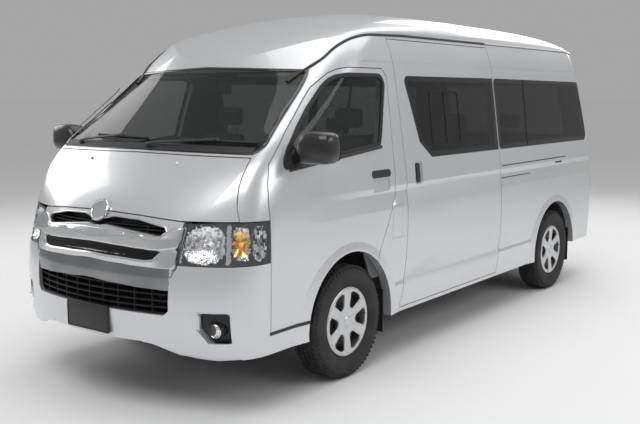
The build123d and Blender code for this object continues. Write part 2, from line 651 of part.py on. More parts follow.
def tyre_body():
    half = TYRE_WIDTH / 2
    r = TYRE_DIAMETER / 2
    b = RIM_DIAMETER / 2
    seat = RIM_WIDTH / 2 - 8 - SEAT_GAP
    points = [(-seat, b), (-seat, b + 22), (-half + 4, b + 48), (-half, b + 85), (-half + 10, r - 28),
              (-half + 26, r - 5), (-60, r), (60, r), (half - 26, r - 5), (half - 10, r - 28),
              (half, b + 85), (half - 4, b + 48), (seat, b + 22), (seat, b)]
    return spin_profile(points)


rim = wheel_rim()
tyre = tyre_body()
front_y, rear_y = wheel_centres()


def placed(shape, side, y):
    spot = Pos(HALF_TRACK, y, AXLE_Z) * shape
    return spot if side > 0 else mirrored(spot)


PIN_LOW = 215.0
PIN_HIGH = 470.0
UPRIGHT = 190.0
upright = Pos(KINGPIN_X, front_y, AXLE_Z) * Cylinder(30, UPRIGHT)
spindle = across(SPINDLE_RADIUS, KINGPIN_X + 15, HALF_TRACK + 28, front_y, AXLE_Z)
flange = across(48, KINGPIN_X + 15, HALF_TRACK - 60, front_y, AXLE_Z)
pin_hole = Pos(KINGPIN_X, front_y, AXLE_Z) * Cylinder(KINGPIN_RADIUS + SPINDLE_CLEARANCE, 2 * UPRIGHT)
knuckle = upright + spindle + flange - pin_hole


def suspension_arm(z):
    eye = Pos(KINGPIN_X, front_y, z) * Cylinder(26, 24)
    inner = RAIL_X - 30
    arms = eye
    for reach in (-110, 110):
        arms = arms + rod((KINGPIN_X, front_y, z), (inner, front_y + reach, z), 14)
    return arms - block(-RAIL_X, RAIL_X + RAIL_WIDTH / 2 + SEAT_GAP, 500, 2000, 0, RAIL_TOP)


arm_low_z = AXLE_Z - UPRIGHT / 2 - 35
arm_high_z = AXLE_Z + UPRIGHT / 2 + 20
kingpin = Pos(KINGPIN_X, front_y, (arm_low_z + arm_high_z) / 2) * Cylinder(KINGPIN_RADIUS, arm_high_z - arm_low_z)
arm_high = suspension_arm(arm_high_z)
arm_low = Pos(KINGPIN_X, front_y, arm_low_z) * Cylinder(26, 24)
for reach in (-60, 60):
    arm_low = arm_low + rod((KINGPIN_X, front_y, arm_low_z), (RAIL_X + 20, front_y + reach * 0.6, 310), 15)
low_cross = block(0, RAIL_X + 40, FRONT_AXLE / LONG - 65, FRONT_AXLE / LONG + 65, 292, 400)
arm_low = arm_low - low_cross - front_cross
front_suspension_left = arm_high + kingpin + arm_low
mount_plate = block(RAIL_X - 35, RAIL_X + 39, FRONT_AXLE / LONG - 65, FRONT_AXLE / LONG + 65, 290,
                    CROSS_Z[0] - SEAT_GAP)
mount_plate = mount_plate - front_cross
front_suspension_left = front_suspension_left + mount_plate

axle_beam = across(42, -HALF_TRACK + 110, HALF_TRACK - 110, rear_y, AXLE_Z)
axle_ends = across(SPINDLE_RADIUS, -HALF_TRACK - 28, HALF_TRACK + 28, rear_y, AXLE_Z)
axle_case = across(112, -95, 95, rear_y, AXLE_Z)
axle_case = fillet(axle_case.edges().filter_by(GeomType.CIRCLE), 45)
rear_axle = axle_beam + axle_case + axle_ends
SPRING_X = 560 * WIDE


def leaf_spring():
    middle = AXLE_Z - 42 - 22
    ends = CROSS_Z[0] + 20
    arc = ThreePointArc((back(REAR_AXLE / LONG - 620), ends), (rear_y, middle), (back(REAR_AXLE / LONG + 620), ends))
    band = make_face(Wire([arc, Line(arc @ 1, (arc @ 1) + Vector(0, 16)),
                           ThreePointArc((arc @ 1) + Vector(0, 16), (rear_y, middle + 20), (arc @ 0) + Vector(0, 16)),
                           Line((arc @ 0) + Vector(0, 16), arc @ 0)]))
    plane = Plane(origin=(SPRING_X - 30, 0, 0), x_dir=(0, 1, 0), z_dir=(1, 0, 0))
    spring = extrude(plane * band, amount=60)
    hangers = []
    for sign in (-1, 1):
        d = REAR_AXLE / LONG + sign * 610
        hangers.append(block(RAIL_X + RAIL_WIDTH / 2 + SEAT_GAP, SPRING_X + 30, d - 20, d + 20, ends - 6, RAIL_TOP - 6))
    pad = block(SPRING_X - 32, SPRING_X + 32, REAR_AXLE / LONG - 50, REAR_AXLE / LONG + 50, middle, AXLE_Z - 20)
    pad = pad - across(42 + SEAT_GAP, 0, FAR, rear_y, AXLE_Z)
    return spring + hangers[0] + hangers[1] + pad


spring = leaf_spring()

fuel_tank = block(RAIL_X + RAIL_WIDTH / 2 + SEAT_GAP, 800 * WIDE, 2100, 3150, 300, FLOOR_Z - 30, radius=18)
muffler = Pos(-RAIL_X - 130, back(3000), 390) * Rot(90, 0, 0) * Cylinder(75, 620)
pipe_front = rod((-RAIL_X - 130, back(2000), 390), (-RAIL_X - 130, back(2700), 390), 24)
pipe_rear = rod((-RAIL_X - 130, back(3300), 390), (-RAIL_X - 130, back(3640), 390), 24)
pipe_hook = block(-RAIL_X - 140, -RAIL_X - RAIL_WIDTH / 2 - SEAT_GAP, 3000, 3030, 420, 460)
exhaust = muffler + pipe_front + pipe_rear + pipe_hook
spare = Pos(0, back(4960), CROSS_Z[0] - TYRE_WIDTH / 2 - SEAT_GAP) * Rot(0, 90, 0) * (tyre + Pos(0, 0, 0) * rim)
flap_front = block(650 * WIDE, 890 * WIDE, FRONT_AXLE / LONG + 405, FRONT_AXLE / LONG + 413, 190, 470 * TALL)
flap_rear = block(670 * WIDE, 900 * WIDE, REAR_AXLE / LONG + 405, REAR_AXLE / LONG + 413, 190, 520 * TALL)
flap_front = biggest(flap_front - floor_pan - housings[0] - side_left)
flap_rear = biggest(flap_rear - floor_pan - housings[2] - side_left - rear_bumper)

# ---- cabin ----------------------------------------------------------------------------
DASH_HALF = 790 * WIDE
dash = block(-DASH_HALF, DASH_HALF, FIREWALL + FIREWALL_SHEET + SEAT_GAP, 900, 900 * TALL, 1150 * TALL, radius=12)
dash = dash & body_form(WALL + 12)
WHEEL_SIDE = -1
COLUMN_X = WHEEL_SIDE * 400 * WIDE
STEER_CENTRE = (COLUMN_X, back(1010), 1110 * TALL)
STEER_TILT = 35.0
steer_place = Pos(*STEER_CENTRE) * Rot(STEER_TILT - 90, 0, 0)
STEER_BORE = 11.0
steering_wheel = steer_place * (Torus(185, 14) + Cylinder(45, 26) + Box(370, 36, 14) + Pos(0, -92, 0) * Box(34, 185, 14))
steering_wheel = steering_wheel - steer_place * Cylinder(STEER_BORE + SPINDLE_CLEARANCE, 60)
column = steer_place * (Pos(0, 0, -100) * Cylinder(STEER_BORE, 220) + Pos(0, 0, -140) * Cylinder(32, 200))
dash = dash - steer_place * (Pos(0, 0, -150) * Cylinder(32 + SEAT_GAP, 300))


def seat(x0, x1, d, base_z, cushion_z, depth=480.0):
    """Base, cushion, back and headrest of one seat, standing on base_z."""
    pieces = [
        block(x0 + 25, x1 - 25, d + 20, d + depth - 30, base_z, cushion_z),
        block(x0, x1, d, d + depth, cushion_z, cushion_z + 130, radius=30),
    ]
    rest = Pos((x0 + x1) / 2, 0, 0) * Box(x1 - x0 - 10, 110, 560)
    rest = fillet(rest.edges(), 30)
    rest = Rot(-14, 0, 0) * rest
    pieces.append(Pos(0, back(d + depth + 30), cushion_z + 130 + 250) * rest)
    return pieces


def head_rest(x, d, z):
    pad = fillet(Box(260, 90, 170).edges(), 28)
    posts = Box(12, 12, 120)
    return Pos(x, back(d), z) * (pad + Pos(-60, 0, -120) * posts + Pos(60, 0, -120) * posts)


def fused(shapes):
    result = shapes[0]
    for shape in shapes[1:]:
        result = result + shape
    return result


FRONT_SEAT_Z = AXLE_Z + ARCH_RADIUS + HOUSING_SHEET + SEAT_GAP
front_seats = []
for side in (-1, 1):
    x0, x1 = sorted((side * 285 * WIDE, side * 765 * WIDE))
    chair = fused(seat(x0, x1, 1130, FRONT_SEAT_Z, FRONT_SEAT_Z + 25) + [head_rest((x0 + x1) / 2, 1760, FRONT_SEAT_Z + 760)])
    front_seats.append(chair)
rear_seats = []
ROWS = [(2150, 0), (3050, 0), (4120, 0)]
for row_start, lift in ROWS:
    for side in (-1, 1):
        x0, x1 = sorted((side * 20 * WIDE, side * 575 * WIDE))
        base = FLOOR_Z + FLOOR_SHEET
        chair = fused(seat(x0, x1, row_start, base, base + 210) + [head_rest((x0 + x1) / 2, row_start + 625, base + 925)])
        rear_seats.append(chair)

# ---- fittings outside ------------------------------------------------------------------
mirror_shell = fillet(block(955 * WIDE, 1150 * WIDE, 665, 785, 1345 * TALL, 1505 * TALL).edges(), 34)
mirror_arm = rod((870 * WIDE, back(640), 1335 * TALL), (1010 * WIDE, back(725), 1372 * TALL), 22)
MIRROR_FOOT = [(632, 1326), (800, 1341), (800, 1362), (700, 1402), (652, 1362)]
mirror_foot = side_outline(MIRROR_FOOT, DOOR_INNER_X, FAR, radius=6) & body_form(-6)
mirror_seat = body_form(GLASS_INSET - SEAT_GAP)
door_mirror = biggest((mirror_shell + mirror_arm + mirror_foot) - mirror_seat - door_left)
HANDLE_RISE = 22.0
handle_skin = body_form(-HANDLE_RISE)
d0, d1, z0, z1 = HANDLE
handle = fillet(block(DOOR_INNER_X, FAR, d0, d1, z0 * TALL, z1 * TALL).edges().filter_by(Axis.X), 14)
door_fittings = [door_mirror, biggest(handle & (handle_skin - OUTER))]
d0, d1, z0, z1 = SLIDING_POCKET
grip = fillet(block(DOOR_INNER_X, FAR, d0 + 26, d1 - 26, (z0 + 10) * TALL, (z1 - 10) * TALL).edges().filter_by(Axis.X), 14)
sliding_grip = biggest((grip & GLASS_OUT) - body_form(POCKET_DEPTH - SEAT_GAP))


nodes = {
    "roof_panel": [roof],
    "body_side_left": [side_left],
    "body_side_right": [side_right],
    "front_panel": [front_frame],
    "floor_pan": [floor_pan, firewall, engine_cover] + housings,
    "chassis_frame": [biggest(chassis), tow_ear],
    "windscreen": [windscreen],
    "side_glass": [slide_pane, quarter_pane, right_pane],
    "front_bumper": [front_bumper],
    "rear_bumper": [rear_bumper],
    "nose_panel": [nose] + grilles,
    "front_lamps": [front_lamp, mirrored(front_lamp), fog_lamp, mirrored(fog_lamp)],
    "tail_lamps": [rear_lamp, mirrored(rear_lamp)],
    "sliding_door": [sliding_door, sliding_grip],
    "dashboard": [dash],
    "steering_column": [column],
    "front_seats": front_seats,
    "rear_seats": rear_seats,
    "engine_block": [engine],
    "front_suspension": [front_suspension_left, mirrored(front_suspension_left)],
    "rear_axle": [rear_axle],
    "rear_springs": [spring, mirrored(spring)],
    "fuel_tank": [fuel_tank],
    "exhaust": [exhaust],
    "spare_wheel": [spare],
    "mud_flaps": [flap_front, mirrored(flap_front), flap_rear, mirrored(flap_rear)],
    "door_left": [door_left],
    "door_right": [mirrored(door_left)],
    "door_glass_left": [door_glass_left],
    "door_glass_right": [mirrored(door_glass_left)],
    "door_mirror_left": door_fittings,
    "door_mirror_right": [mirrored(shape) for shape in door_fittings],
    "bonnet": [bonnet],
    "tailgate": [gate],
    "tailgate_glass": [gate_glass],
    "fuel_lid": [fuel_lid],
    "knuckle_left": [knuckle],
    "knuckle_right": [mirrored(knuckle)],
    "steering_wheel": [steering_wheel],
}
for corner, side, y in (("front_left", 1, front_y), ("front_right", -1, front_y),
                        ("rear_left", 1, rear_y), ("rear_right", -1, rear_y)):
    nodes["rim_" + corner] = [placed(rim, side, y)]
    nodes["tyre_" + corner] = [placed(tyre, side, y)]
for name, shapes in nodes.items():
    save(name, *shapes)
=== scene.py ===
# Passenger van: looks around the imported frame, in metres. Front faces -Y, +X is the vehicle's left.
import math
import random

import bmesh
import bpy
from mathutils import Matrix, Vector
from mathutils.bvhtree import BVHTree
from mathutils.kdtree import KDTree


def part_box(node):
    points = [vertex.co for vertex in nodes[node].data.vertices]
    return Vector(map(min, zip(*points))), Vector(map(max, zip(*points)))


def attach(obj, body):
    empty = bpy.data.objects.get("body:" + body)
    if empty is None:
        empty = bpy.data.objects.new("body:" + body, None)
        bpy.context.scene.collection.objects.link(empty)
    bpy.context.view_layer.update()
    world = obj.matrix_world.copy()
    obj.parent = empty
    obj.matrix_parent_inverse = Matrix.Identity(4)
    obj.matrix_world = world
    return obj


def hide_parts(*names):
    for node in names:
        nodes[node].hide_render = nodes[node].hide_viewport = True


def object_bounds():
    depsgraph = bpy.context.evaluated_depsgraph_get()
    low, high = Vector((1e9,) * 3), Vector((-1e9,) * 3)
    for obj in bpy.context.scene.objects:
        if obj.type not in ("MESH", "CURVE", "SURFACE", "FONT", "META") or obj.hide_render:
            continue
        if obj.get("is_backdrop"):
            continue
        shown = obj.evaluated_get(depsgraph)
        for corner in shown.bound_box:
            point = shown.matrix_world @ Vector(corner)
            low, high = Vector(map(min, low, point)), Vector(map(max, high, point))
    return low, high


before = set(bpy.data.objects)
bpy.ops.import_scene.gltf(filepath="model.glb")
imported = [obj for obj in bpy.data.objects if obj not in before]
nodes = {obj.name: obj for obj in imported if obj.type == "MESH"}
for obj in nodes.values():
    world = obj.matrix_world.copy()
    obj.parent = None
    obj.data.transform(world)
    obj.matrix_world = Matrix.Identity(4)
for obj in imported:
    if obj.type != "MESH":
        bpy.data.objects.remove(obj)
cadLow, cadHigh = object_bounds()
scene = bpy.context.scene
rng = random.Random(7)
frontY = cadLow[1]
sideNames = ((1, "left"), (-1, "right"))    # sign of X and name of each side
print("frame loaded:", len(nodes), "nodes")

def back(distance):
    return frontY + distance    # place along the van, from its distance behind the front bumper

# finishes
def newFinish(name):
    finish = bpy.data.materials.new(name)
    finish.use_nodes = True
    tree = finish.node_tree
    shader = tree.nodes["Principled BSDF"]
    return finish, tree, shader

def objectCoords(tree, scale=(1, 1, 1)):
    coords = tree.nodes.new("ShaderNodeTexCoord")
    mapping = tree.nodes.new("ShaderNodeMapping")
    mapping.inputs["Scale"].default_value = scale
    tree.links.new(coords.outputs["Object"], mapping.inputs["Vector"])
    return mapping.outputs["Vector"]

def noise(tree, vector, scale, detail=3.0, roughness=0.5):
    node = tree.nodes.new("ShaderNodeTexNoise")
    node.inputs["Scale"].default_value = scale
    node.inputs["Detail"].default_value = detail
    node.inputs["Roughness"].default_value = roughness
    tree.links.new(vector, node.inputs["Vector"])
    return node.outputs["Fac"]

def ramp(tree, factor, stops):
    node = tree.nodes.new("ShaderNodeValToRGB")
    band = node.color_ramp
    band.elements[0].position, band.elements[0].color = stops[0][0], (*stops[0][1], 1)
    band.elements[1].position, band.elements[1].color = stops[-1][0], (*stops[-1][1], 1)
    for place, colour in stops[1:-1]:
        band.elements.new(place).color = (*colour, 1)
    tree.links.new(factor, node.inputs["Fac"])
    return node.outputs["Color"]

def spread(tree, factor, low, high):
    node = tree.nodes.new("ShaderNodeMapRange")
    node.inputs["To Min"].default_value = low
    node.inputs["To Max"].default_value = high
    tree.links.new(factor, node.inputs["Value"])
    return node.outputs["Result"]

def bumpFrom(tree, factor, strength, distance):
    node = tree.nodes.new("ShaderNodeBump")
    node.inputs["Strength"].default_value = strength
    node.inputs["Distance"].default_value = distance
    tree.links.new(factor, node.inputs["Height"])
    return node.outputs["Normal"]

def grainedFinish(name, dark, light, scale, roughness=(0.4, 0.5), bump=0.0, bumpScale=None, depth=0.0005,
                  metallic=0.0, stretch=(1, 1, 1), **sockets):
    finish, tree, shader = newFinish(name)
    vector = objectCoords(tree, stretch)
    broad = noise(tree, vector, scale)
    tree.links.new(ramp(tree, broad, [(0.32, dark), (0.68, light)]), shader.inputs["Base Color"])
    fine = noise(tree, vector, bumpScale or scale * 6, 2.0)
    tree.links.new(spread(tree, broad, *roughness), shader.inputs["Roughness"])
    if bump:
        tree.links.new(bumpFrom(tree, fine, bump, depth), shader.inputs["Normal"])
    shader.inputs["Metallic"].default_value = metallic
    for socket, value in sockets.items():
        shader.inputs[socket.replace("_", " ")].default_value = value
    return finish

def mathNode(tree, operation, *values):
    node = tree.nodes.new("ShaderNodeMath")
    node.operation = operation
    for place, value in zip(node.inputs, values):
        if isinstance(value, (int, float)):
            place.default_value = value
        else:
            tree.links.new(value, place)
    return node.outputs[0]

lining = {"turnedFrom": -0.4, "roofFrom": 1.6, "endsFrom": 2.2, "colour": (0.20, 0.20, 0.205)}

def splitVector(tree, vector):
    node = tree.nodes.new("ShaderNodeSeparateXYZ")
    tree.links.new(vector, node.inputs[0])
    return node.outputs

def facesInward(tree, vector):
    # 1 on faces that look into the cabin, which are lined, and 0 on the outer skin
    place = splitVector(tree, vector)
    shape = tree.nodes.new("ShaderNodeNewGeometry")
    way = splitVector(tree, shape.outputs["True Normal"])

    def lookingIn(axis):
        outward = mathNode(tree, "SIGN", place[axis])
        return mathNode(tree, "LESS_THAN", mathNode(tree, "MULTIPLY", way[axis], outward),
                        lining["turnedFrom"])

    sides = lookingIn("X")
    above = mathNode(tree, "MULTIPLY", mathNode(tree, "LESS_THAN", way["Z"], lining["turnedFrom"]),
                     mathNode(tree, "GREATER_THAN", place["Z"], lining["roofFrom"]))
    nearEnd = mathNode(tree, "GREATER_THAN", mathNode(tree, "ABSOLUTE", place["Y"]), lining["endsFrom"])
    ends = mathNode(tree, "MULTIPLY", lookingIn("Y"), nearEnd)
    return mathNode(tree, "MAXIMUM", mathNode(tree, "MAXIMUM", sides, above), ends)

def shades(colour, darker, lighter):
    return tuple(c * darker for c in colour), tuple(min(c * lighter, 1) for c in colour)

def paintFinish(name, colour, flake):
    finish, tree, shader = newFinish(name)
    vector = objectCoords(tree)
    flakes = noise(tree, vector, 2600.0, 1.0)
    broad = noise(tree, vector, 1.3, 2.0)
    blend = mathNode(tree, "MULTIPLY_ADD", flakes, flake, spread(tree, broad, 0.35, 0.55))
    low, high = shades(colour, 0.86, 1.12)
    inside = facesInward(tree, vector)
    mix = tree.nodes.new("ShaderNodeMix")
    mix.data_type = "RGBA"
    tree.links.new(inside, mix.inputs["Factor"])
    tree.links.new(ramp(tree, blend, [(0.3, low), (0.9, high)]), mix.inputs["A"])
    mix.inputs["B"].default_value = (*lining["colour"], 1)
    tree.links.new(mix.outputs["Result"], shader.inputs["Base Color"])
    outer = mathNode(tree, "SUBTRACT", 1.0, inside)
    gloss = mathNode(tree, "MULTIPLY_ADD", inside, 0.5, spread(tree, broad, 0.27, 0.33))
    tree.links.new(gloss, shader.inputs["Roughness"])
    tree.links.new(mathNode(tree, "MULTIPLY", outer, 0.62), shader.inputs["Metallic"])
    tree.links.new(mathNode(tree, "MULTIPLY", outer, 0.8), shader.inputs["Coat Weight"])
    shader.inputs["Coat Roughness"].default_value = 0.04
    return finish

def glassFinish(name, colour, alpha, roughness=(0.015, 0.03), bands=()):
    # bands are dark borders drawn on a pane, black print on the side panes and painted shade along the
    # windscreen's top edge: (axis, middle, half width)
    finish, tree, shader = newFinish(name)
    vector = objectCoords(tree)
    broad = noise(tree, vector, 2.4, 2.0)
    low, high = shades(colour, 0.9, 1.1)
    tree.links.new(ramp(tree, broad, [(0.3, low), (0.7, high)]), shader.inputs["Base Color"])
    tree.links.new(spread(tree, broad, *roughness), shader.inputs["Roughness"])
    shader.inputs["Alpha"].default_value = alpha
    if bands:
        place = splitVector(tree, vector)
        value = alpha
        for axis, middle, half in bands:
            away = mathNode(tree, "ABSOLUTE", mathNode(tree, "SUBTRACT", place[axis], middle))
            printAndShadeBand = mathNode(tree, "MULTIPLY", mathNode(tree, "LESS_THAN", away, half), 0.985)
            value = mathNode(tree, "MAXIMUM", value, printAndShadeBand)
        tree.links.new(value, shader.inputs["Alpha"])
    shader.inputs["IOR"].default_value = 1.5
    return finish

paint = paintFinish("paintSilver", (0.66, 0.67, 0.69), 0.35)
paneBorders = (("Y", back(3.213), 0.055), ("Y", back(3.76), 0.018), ("Z", 1.27, 0.045), ("Z", 1.835, 0.045))
privacyGlass = glassFinish("privacyGlass", (0.012, 0.013, 0.014), 0.60, bands=paneBorders)
# the windscreen's one band is painted shade along its top edge
screenGlass = glassFinish("screenGlass", (0.02, 0.023, 0.023), 0.42, bands=(("Z", 1.86, 0.024),))
clearLens = glassFinish("clearLens", (0.5, 0.52, 0.54), 0.05)
redLens = glassFinish("redLens", (0.42, 0.012, 0.014), 0.8)
mirrorGlass = grainedFinish("mirrorGlass", (0.72, 0.74, 0.76), (0.8, 0.81, 0.83), 3, (0.02, 0.05),
                            metallic=1.0)
chrome = grainedFinish("chrome", (0.72, 0.73, 0.74), (0.82, 0.83, 0.84), 9, (0.06, 0.12), metallic=1.0)
coverSilver = grainedFinish("coverSilver", (0.56, 0.57, 0.58), (0.64, 0.65, 0.66), 14, (0.28, 0.36), 0.08,
                            900, metallic=0.55, Coat_Weight=0.5, Coat_Roughness=0.1)
trimBlack = grainedFinish("trimBlack", (0.012, 0.012, 0.013), (0.024, 0.024, 0.025), 11, (0.42, 0.55),
                          0.25, 950)
glossBlack = grainedFinish("glossBlack", (0.008, 0.008, 0.009), (0.014, 0.014, 0.015), 4, (0.08, 0.14),
                           Coat_Weight=0.6, Coat_Roughness=0.05)
glossTrim = grainedFinish("glossTrim", (0.010, 0.010, 0.011), (0.019, 0.019, 0.020), 6, (0.20, 0.28), 0.10,
                          1200, Coat_Weight=0.35, Coat_Roughness=0.12)
rubber = grainedFinish("rubber", (0.01, 0.01, 0.01), (0.02, 0.02, 0.02), 20, (0.62, 0.78), 0.3, 700)
tyreRubber = grainedFinish("tyreRubber", (0.012, 0.012, 0.012), (0.034, 0.033, 0.032), 9, (0.68, 0.86), 0.4,
                           420, 0.0006)
trimGrey = grainedFinish("trimGrey", (0.10, 0.10, 0.10), (0.14, 0.14, 0.135), 8, (0.55, 0.68), 0.35, 800)
liningGrey = grainedFinish("liningGrey", (0.40, 0.40, 0.39), (0.48, 0.48, 0.46), 12, (0.8, 0.9), 0.3, 600)
frameBlack = grainedFinish("frameBlack", (0.016, 0.016, 0.017), (0.034, 0.033, 0.032), 7, (0.5, 0.72), 0.3,
                           120, 0.001)
castGrey = grainedFinish("castGrey", (0.16, 0.16, 0.16), (0.27, 0.265, 0.26), 10, (0.5, 0.7), 0.6, 160, 0.001,
                         metallic=0.7)
darkSteel = grainedFinish("darkSteel", (0.09, 0.088, 0.085), (0.2, 0.19, 0.18), 8, (0.38, 0.6), 0.3, 90,
                          0.0006, metallic=0.85)
amberLens = grainedFinish("amberLens", (1.0, 0.56, 0.04), (1.0, 0.68, 0.10), 30, (0.1, 0.2), Coat_Weight=0.5)
plateDark = grainedFinish("plateDark", (0.012, 0.012, 0.013), (0.02, 0.02, 0.021), 6, (0.3, 0.42), 0.1, 500)

def glintFacetFinish(name, dark, middle, light, scale, stretch=(1, 1, 1), roughness=(0.08, 0.16), bump=0.5):
    # pressed reflector: small flats, each with its own painted glint or painted shade, one by one
    finish, tree, shader = newFinish(name)
    vector = objectCoords(tree, stretch)
    cells = tree.nodes.new("ShaderNodeTexVoronoi")
    cells.distance = "CHEBYCHEV"
    cells.inputs["Scale"].default_value = scale
    cells.inputs["Randomness"].default_value = 0.55
    tree.links.new(vector, cells.inputs["Vector"])
    split = tree.nodes.new("ShaderNodeSeparateColor")
    tree.links.new(cells.outputs["Color"], split.inputs[0])
    # each cell's colour, from dark to light, is a painted shade or painted glint on the chrome
    shade = ramp(tree, split.outputs[0], [(0.12, dark), (0.5, middle), (0.85, light)])
    tree.links.new(shade, shader.inputs["Base Color"])
    tree.links.new(spread(tree, split.outputs[1], *roughness), shader.inputs["Roughness"])
    tree.links.new(bumpFrom(tree, cells.outputs["Distance"], bump, 0.002), shader.inputs["Normal"])
    shader.inputs["Metallic"].default_value = 0.95
    return finish

def seatFinish(name, dark, light, threads=170):
    # woven cloth: two crossed waves over a broad cloudiness
    finish, tree, shader = newFinish(name)
    vector = objectCoords(tree)
    runs = []
    for way in ("X", "Z"):
        wave = tree.nodes.new("ShaderNodeTexWave")
        wave.bands_direction = way
        wave.inputs["Scale"].default_value = threads
        wave.inputs["Distortion"].default_value = 1.2
        tree.links.new(vector, wave.inputs["Vector"])
        runs.append(wave.outputs["Fac"])
    weave = mathNode(tree, "MULTIPLY", *runs)
    broad = noise(tree, vector, 6, 4)
    shade = ramp(tree, mathNode(tree, "MULTIPLY_ADD", weave, 0.4, broad), [(0.3, dark), (0.9, light)])
    tree.links.new(shade, shader.inputs["Base Color"])
    tree.links.new(bumpFrom(tree, weave, 0.4, 0.0008), shader.inputs["Normal"])
    tree.links.new(spread(tree, broad, 0.85, 0.95), shader.inputs["Roughness"])
    shader.inputs["Sheen Weight"].default_value = 0.3
    return finish

seatCloth = seatFinish("seatCloth", (0.16, 0.155, 0.15), (0.30, 0.29, 0.28))

cadFinish = {
    "paint_silver": paint, "frame_black": frameBlack, "glass_tinted": privacyGlass, "lamp_clear": clearLens,
    "lamp_red": redLens, "trim_black": trimBlack, "trim_grey": trimGrey, "seat_fabric": seatCloth,
    "cast": castGrey, "steel_dark": darkSteel, "cover_silver": coverSilver, "tyre": tyreRubber,
}
for node in nodes.values():
    for place in node.material_slots:
        place.material = cadFinish.get(place.material.name.split(".")[0], trimGrey)
for name in ("windscreen", "door_glass_left", "door_glass_right"):
    nodes[name].material_slots[0].material = screenGlass
print("finishes done")

# stage, light, camera
studio = {"floorColour": (0.8, 0.8, 0.8), "floorSize": 600.0, "worldStrength": 0.55,
          "backdrop": (0.385, 0.385, 0.388),
          "sky": [(0.0, (0.55, 0.55, 0.56)), (0.12, (0.62, 0.62, 0.63)), (0.5, (0.8, 0.8, 0.81)),
                  (1.0, (1, 1, 1))]}

def buildFloor():
    finish, tree, shader = newFinish("floorPaint")
    vector = objectCoords(tree)
    broad = noise(tree, vector, 0.4, 2.0)
    shade = ramp(tree, broad, list(zip((0.3, 0.7), shades(studio["floorColour"], 0.985, 1.0))))
    tree.links.new(shade, shader.inputs["Base Color"])
    shader.inputs["Roughness"].default_value = 0.75
    mesh = bpy.data.meshes.new("floor")
    half = studio["floorSize"] / 2
    mesh.from_pydata([(-half, -half, 0), (half, -half, 0), (half, half, 0), (-half, half, 0)], [],
                     [(0, 1, 2, 3)])
    mesh.materials.append(finish)
    floor = bpy.data.objects.new("floor", mesh)
    scene.collection.objects.link(floor)
    floor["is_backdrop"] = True

def buildWorld():
    world = bpy.data.worlds.new("studio")
    world.use_nodes = True
    scene.world = world
    tree = world.node_tree
    background = tree.nodes["Background"]
    coords = tree.nodes.new("ShaderNodeTexCoord")
    height = splitVector(tree, coords.outputs["Generated"])["Z"]
    tree.links.new(ramp(tree, spread(tree, height, 0.0, 1.0), studio["sky"]), background.inputs["Color"])
    background.inputs["Strength"].default_value = studio["worldStrength"]
    plain = tree.nodes.new("ShaderNodeBackground")
    plain.inputs["Color"].default_value = (*studio["backdrop"], 1)
    path = tree.nodes.new("ShaderNodeLightPath")
    choose = tree.nodes.new("ShaderNodeMixShader")
    seen = mathNode(tree, "MAXIMUM", path.outputs["Is Camera Ray"], path.outputs["Is Transmission Ray"])
    tree.links.new(mathNode(tree, "MAXIMUM", seen, path.outputs["Is Glossy Ray"]), choose.inputs["Fac"])
    tree.links.new(background.outputs[0], choose.inputs[1])
    tree.links.new(plain.outputs[0], choose.inputs[2])
    tree.links.new(choose.outputs[0], tree.nodes["World Output"].inputs["Surface"])

def softLamp(name, place, target, width, height, power):
    data = bpy.data.lights.new(name, "AREA")
    data.shape = "RECTANGLE"
    data.size, data.size_y, data.energy = width, height, power
    lamp = bpy.data.objects.new(name, data)
    lamp.location = place
    lamp.rotation_euler = (Vector(target) - Vector(place)).to_track_quat("-Z", "Y").to_euler()
    scene.collection.objects.link(lamp)

buildFloor()
buildWorld()
softLamp("keyLamp", (1.5, -5.5, 6.5), (0, -0.6, 0.8), 6.0, 4.0, 215)
softLamp("topLamp", (0.5, 1.5, 6.5), (0, 0.4, 1), 5.0, 7.5, 165)
softLamp("sideLamp", (7.0, 1.0, 4.2), (0.4, 0.6, 0.9), 6.5, 2.5, 120)
softLamp("fillLamp", (-6.5, -1.5, 4.0), (0, 0, 1), 5.0, 3.0, 100)
softLamp("rearLamp", (-1.0, 7.5, 4.5), (0, 1, 1), 5.0, 3.0, 110)

eye = {"place": (3.882, -5.725, 1.699), "yaw": 36.87, "pitch": 7.55, "roll": -0.13,
       "lens": 49.59, "sensor": 36.0}

def placeCamera():
    data = bpy.data.cameras.new("view")
    data.lens, data.sensor_width = eye["lens"], eye["sensor"]
    camera = bpy.data.objects.new("view", data)
    yaw, pitch, roll = (math.radians(eye[key]) for key in ("yaw", "pitch", "roll"))
    camera.location = eye["place"]
    ahead = Vector((-math.sin(yaw) * math.cos(pitch), math.cos(yaw) * math.cos(pitch), -math.sin(pitch)))
    level = ahead.to_track_quat("-Z", "Y").to_matrix()
    camera.rotation_euler = (level @ Matrix.Rotation(roll, 3, "Z")).to_euler()
    scene.collection.objects.link(camera)
    scene.camera = camera

placeCamera()
scene.view_settings.view_transform = "Standard"
print("stage, lamps and camera done")

# making pieces
def addPiece(name, mesh, finish, body, sharp=35, stands=()):
    piece = bpy.data.objects.new(name, mesh)
    scene.collection.objects.link(piece)
    if finish is not None:
        mesh.materials.clear()
        mesh.materials.append(finish)
    mesh.shade_smooth()
    mesh.set_sharp_from_angle(angle=math.radians(sharp))
    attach(piece, body)
    if stands:
        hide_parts(*stands)
    return piece

def closedMesh(name, mould):
    bmesh.ops.remove_doubles(mould, verts=mould.verts, dist=0.00001)
    bmesh.ops.recalc_face_normals(mould, faces=mould.faces)
    mesh = bpy.data.meshes.new(name)
    mould.to_mesh(mesh)
    mould.free()
    return mesh

def evaluated(carrier):
    # the mesh that an object's modifiers give
    return bpy.data.meshes.new_from_object(carrier.evaluated_get(bpy.context.evaluated_depsgraph_get()))

def joined(name, meshes):
    mould = bmesh.new()
    for mesh in meshes:
        mould.from_mesh(mesh)
    mesh = bpy.data.meshes.new(name)
    mould.to_mesh(mesh)
    mould.free()
    return mesh

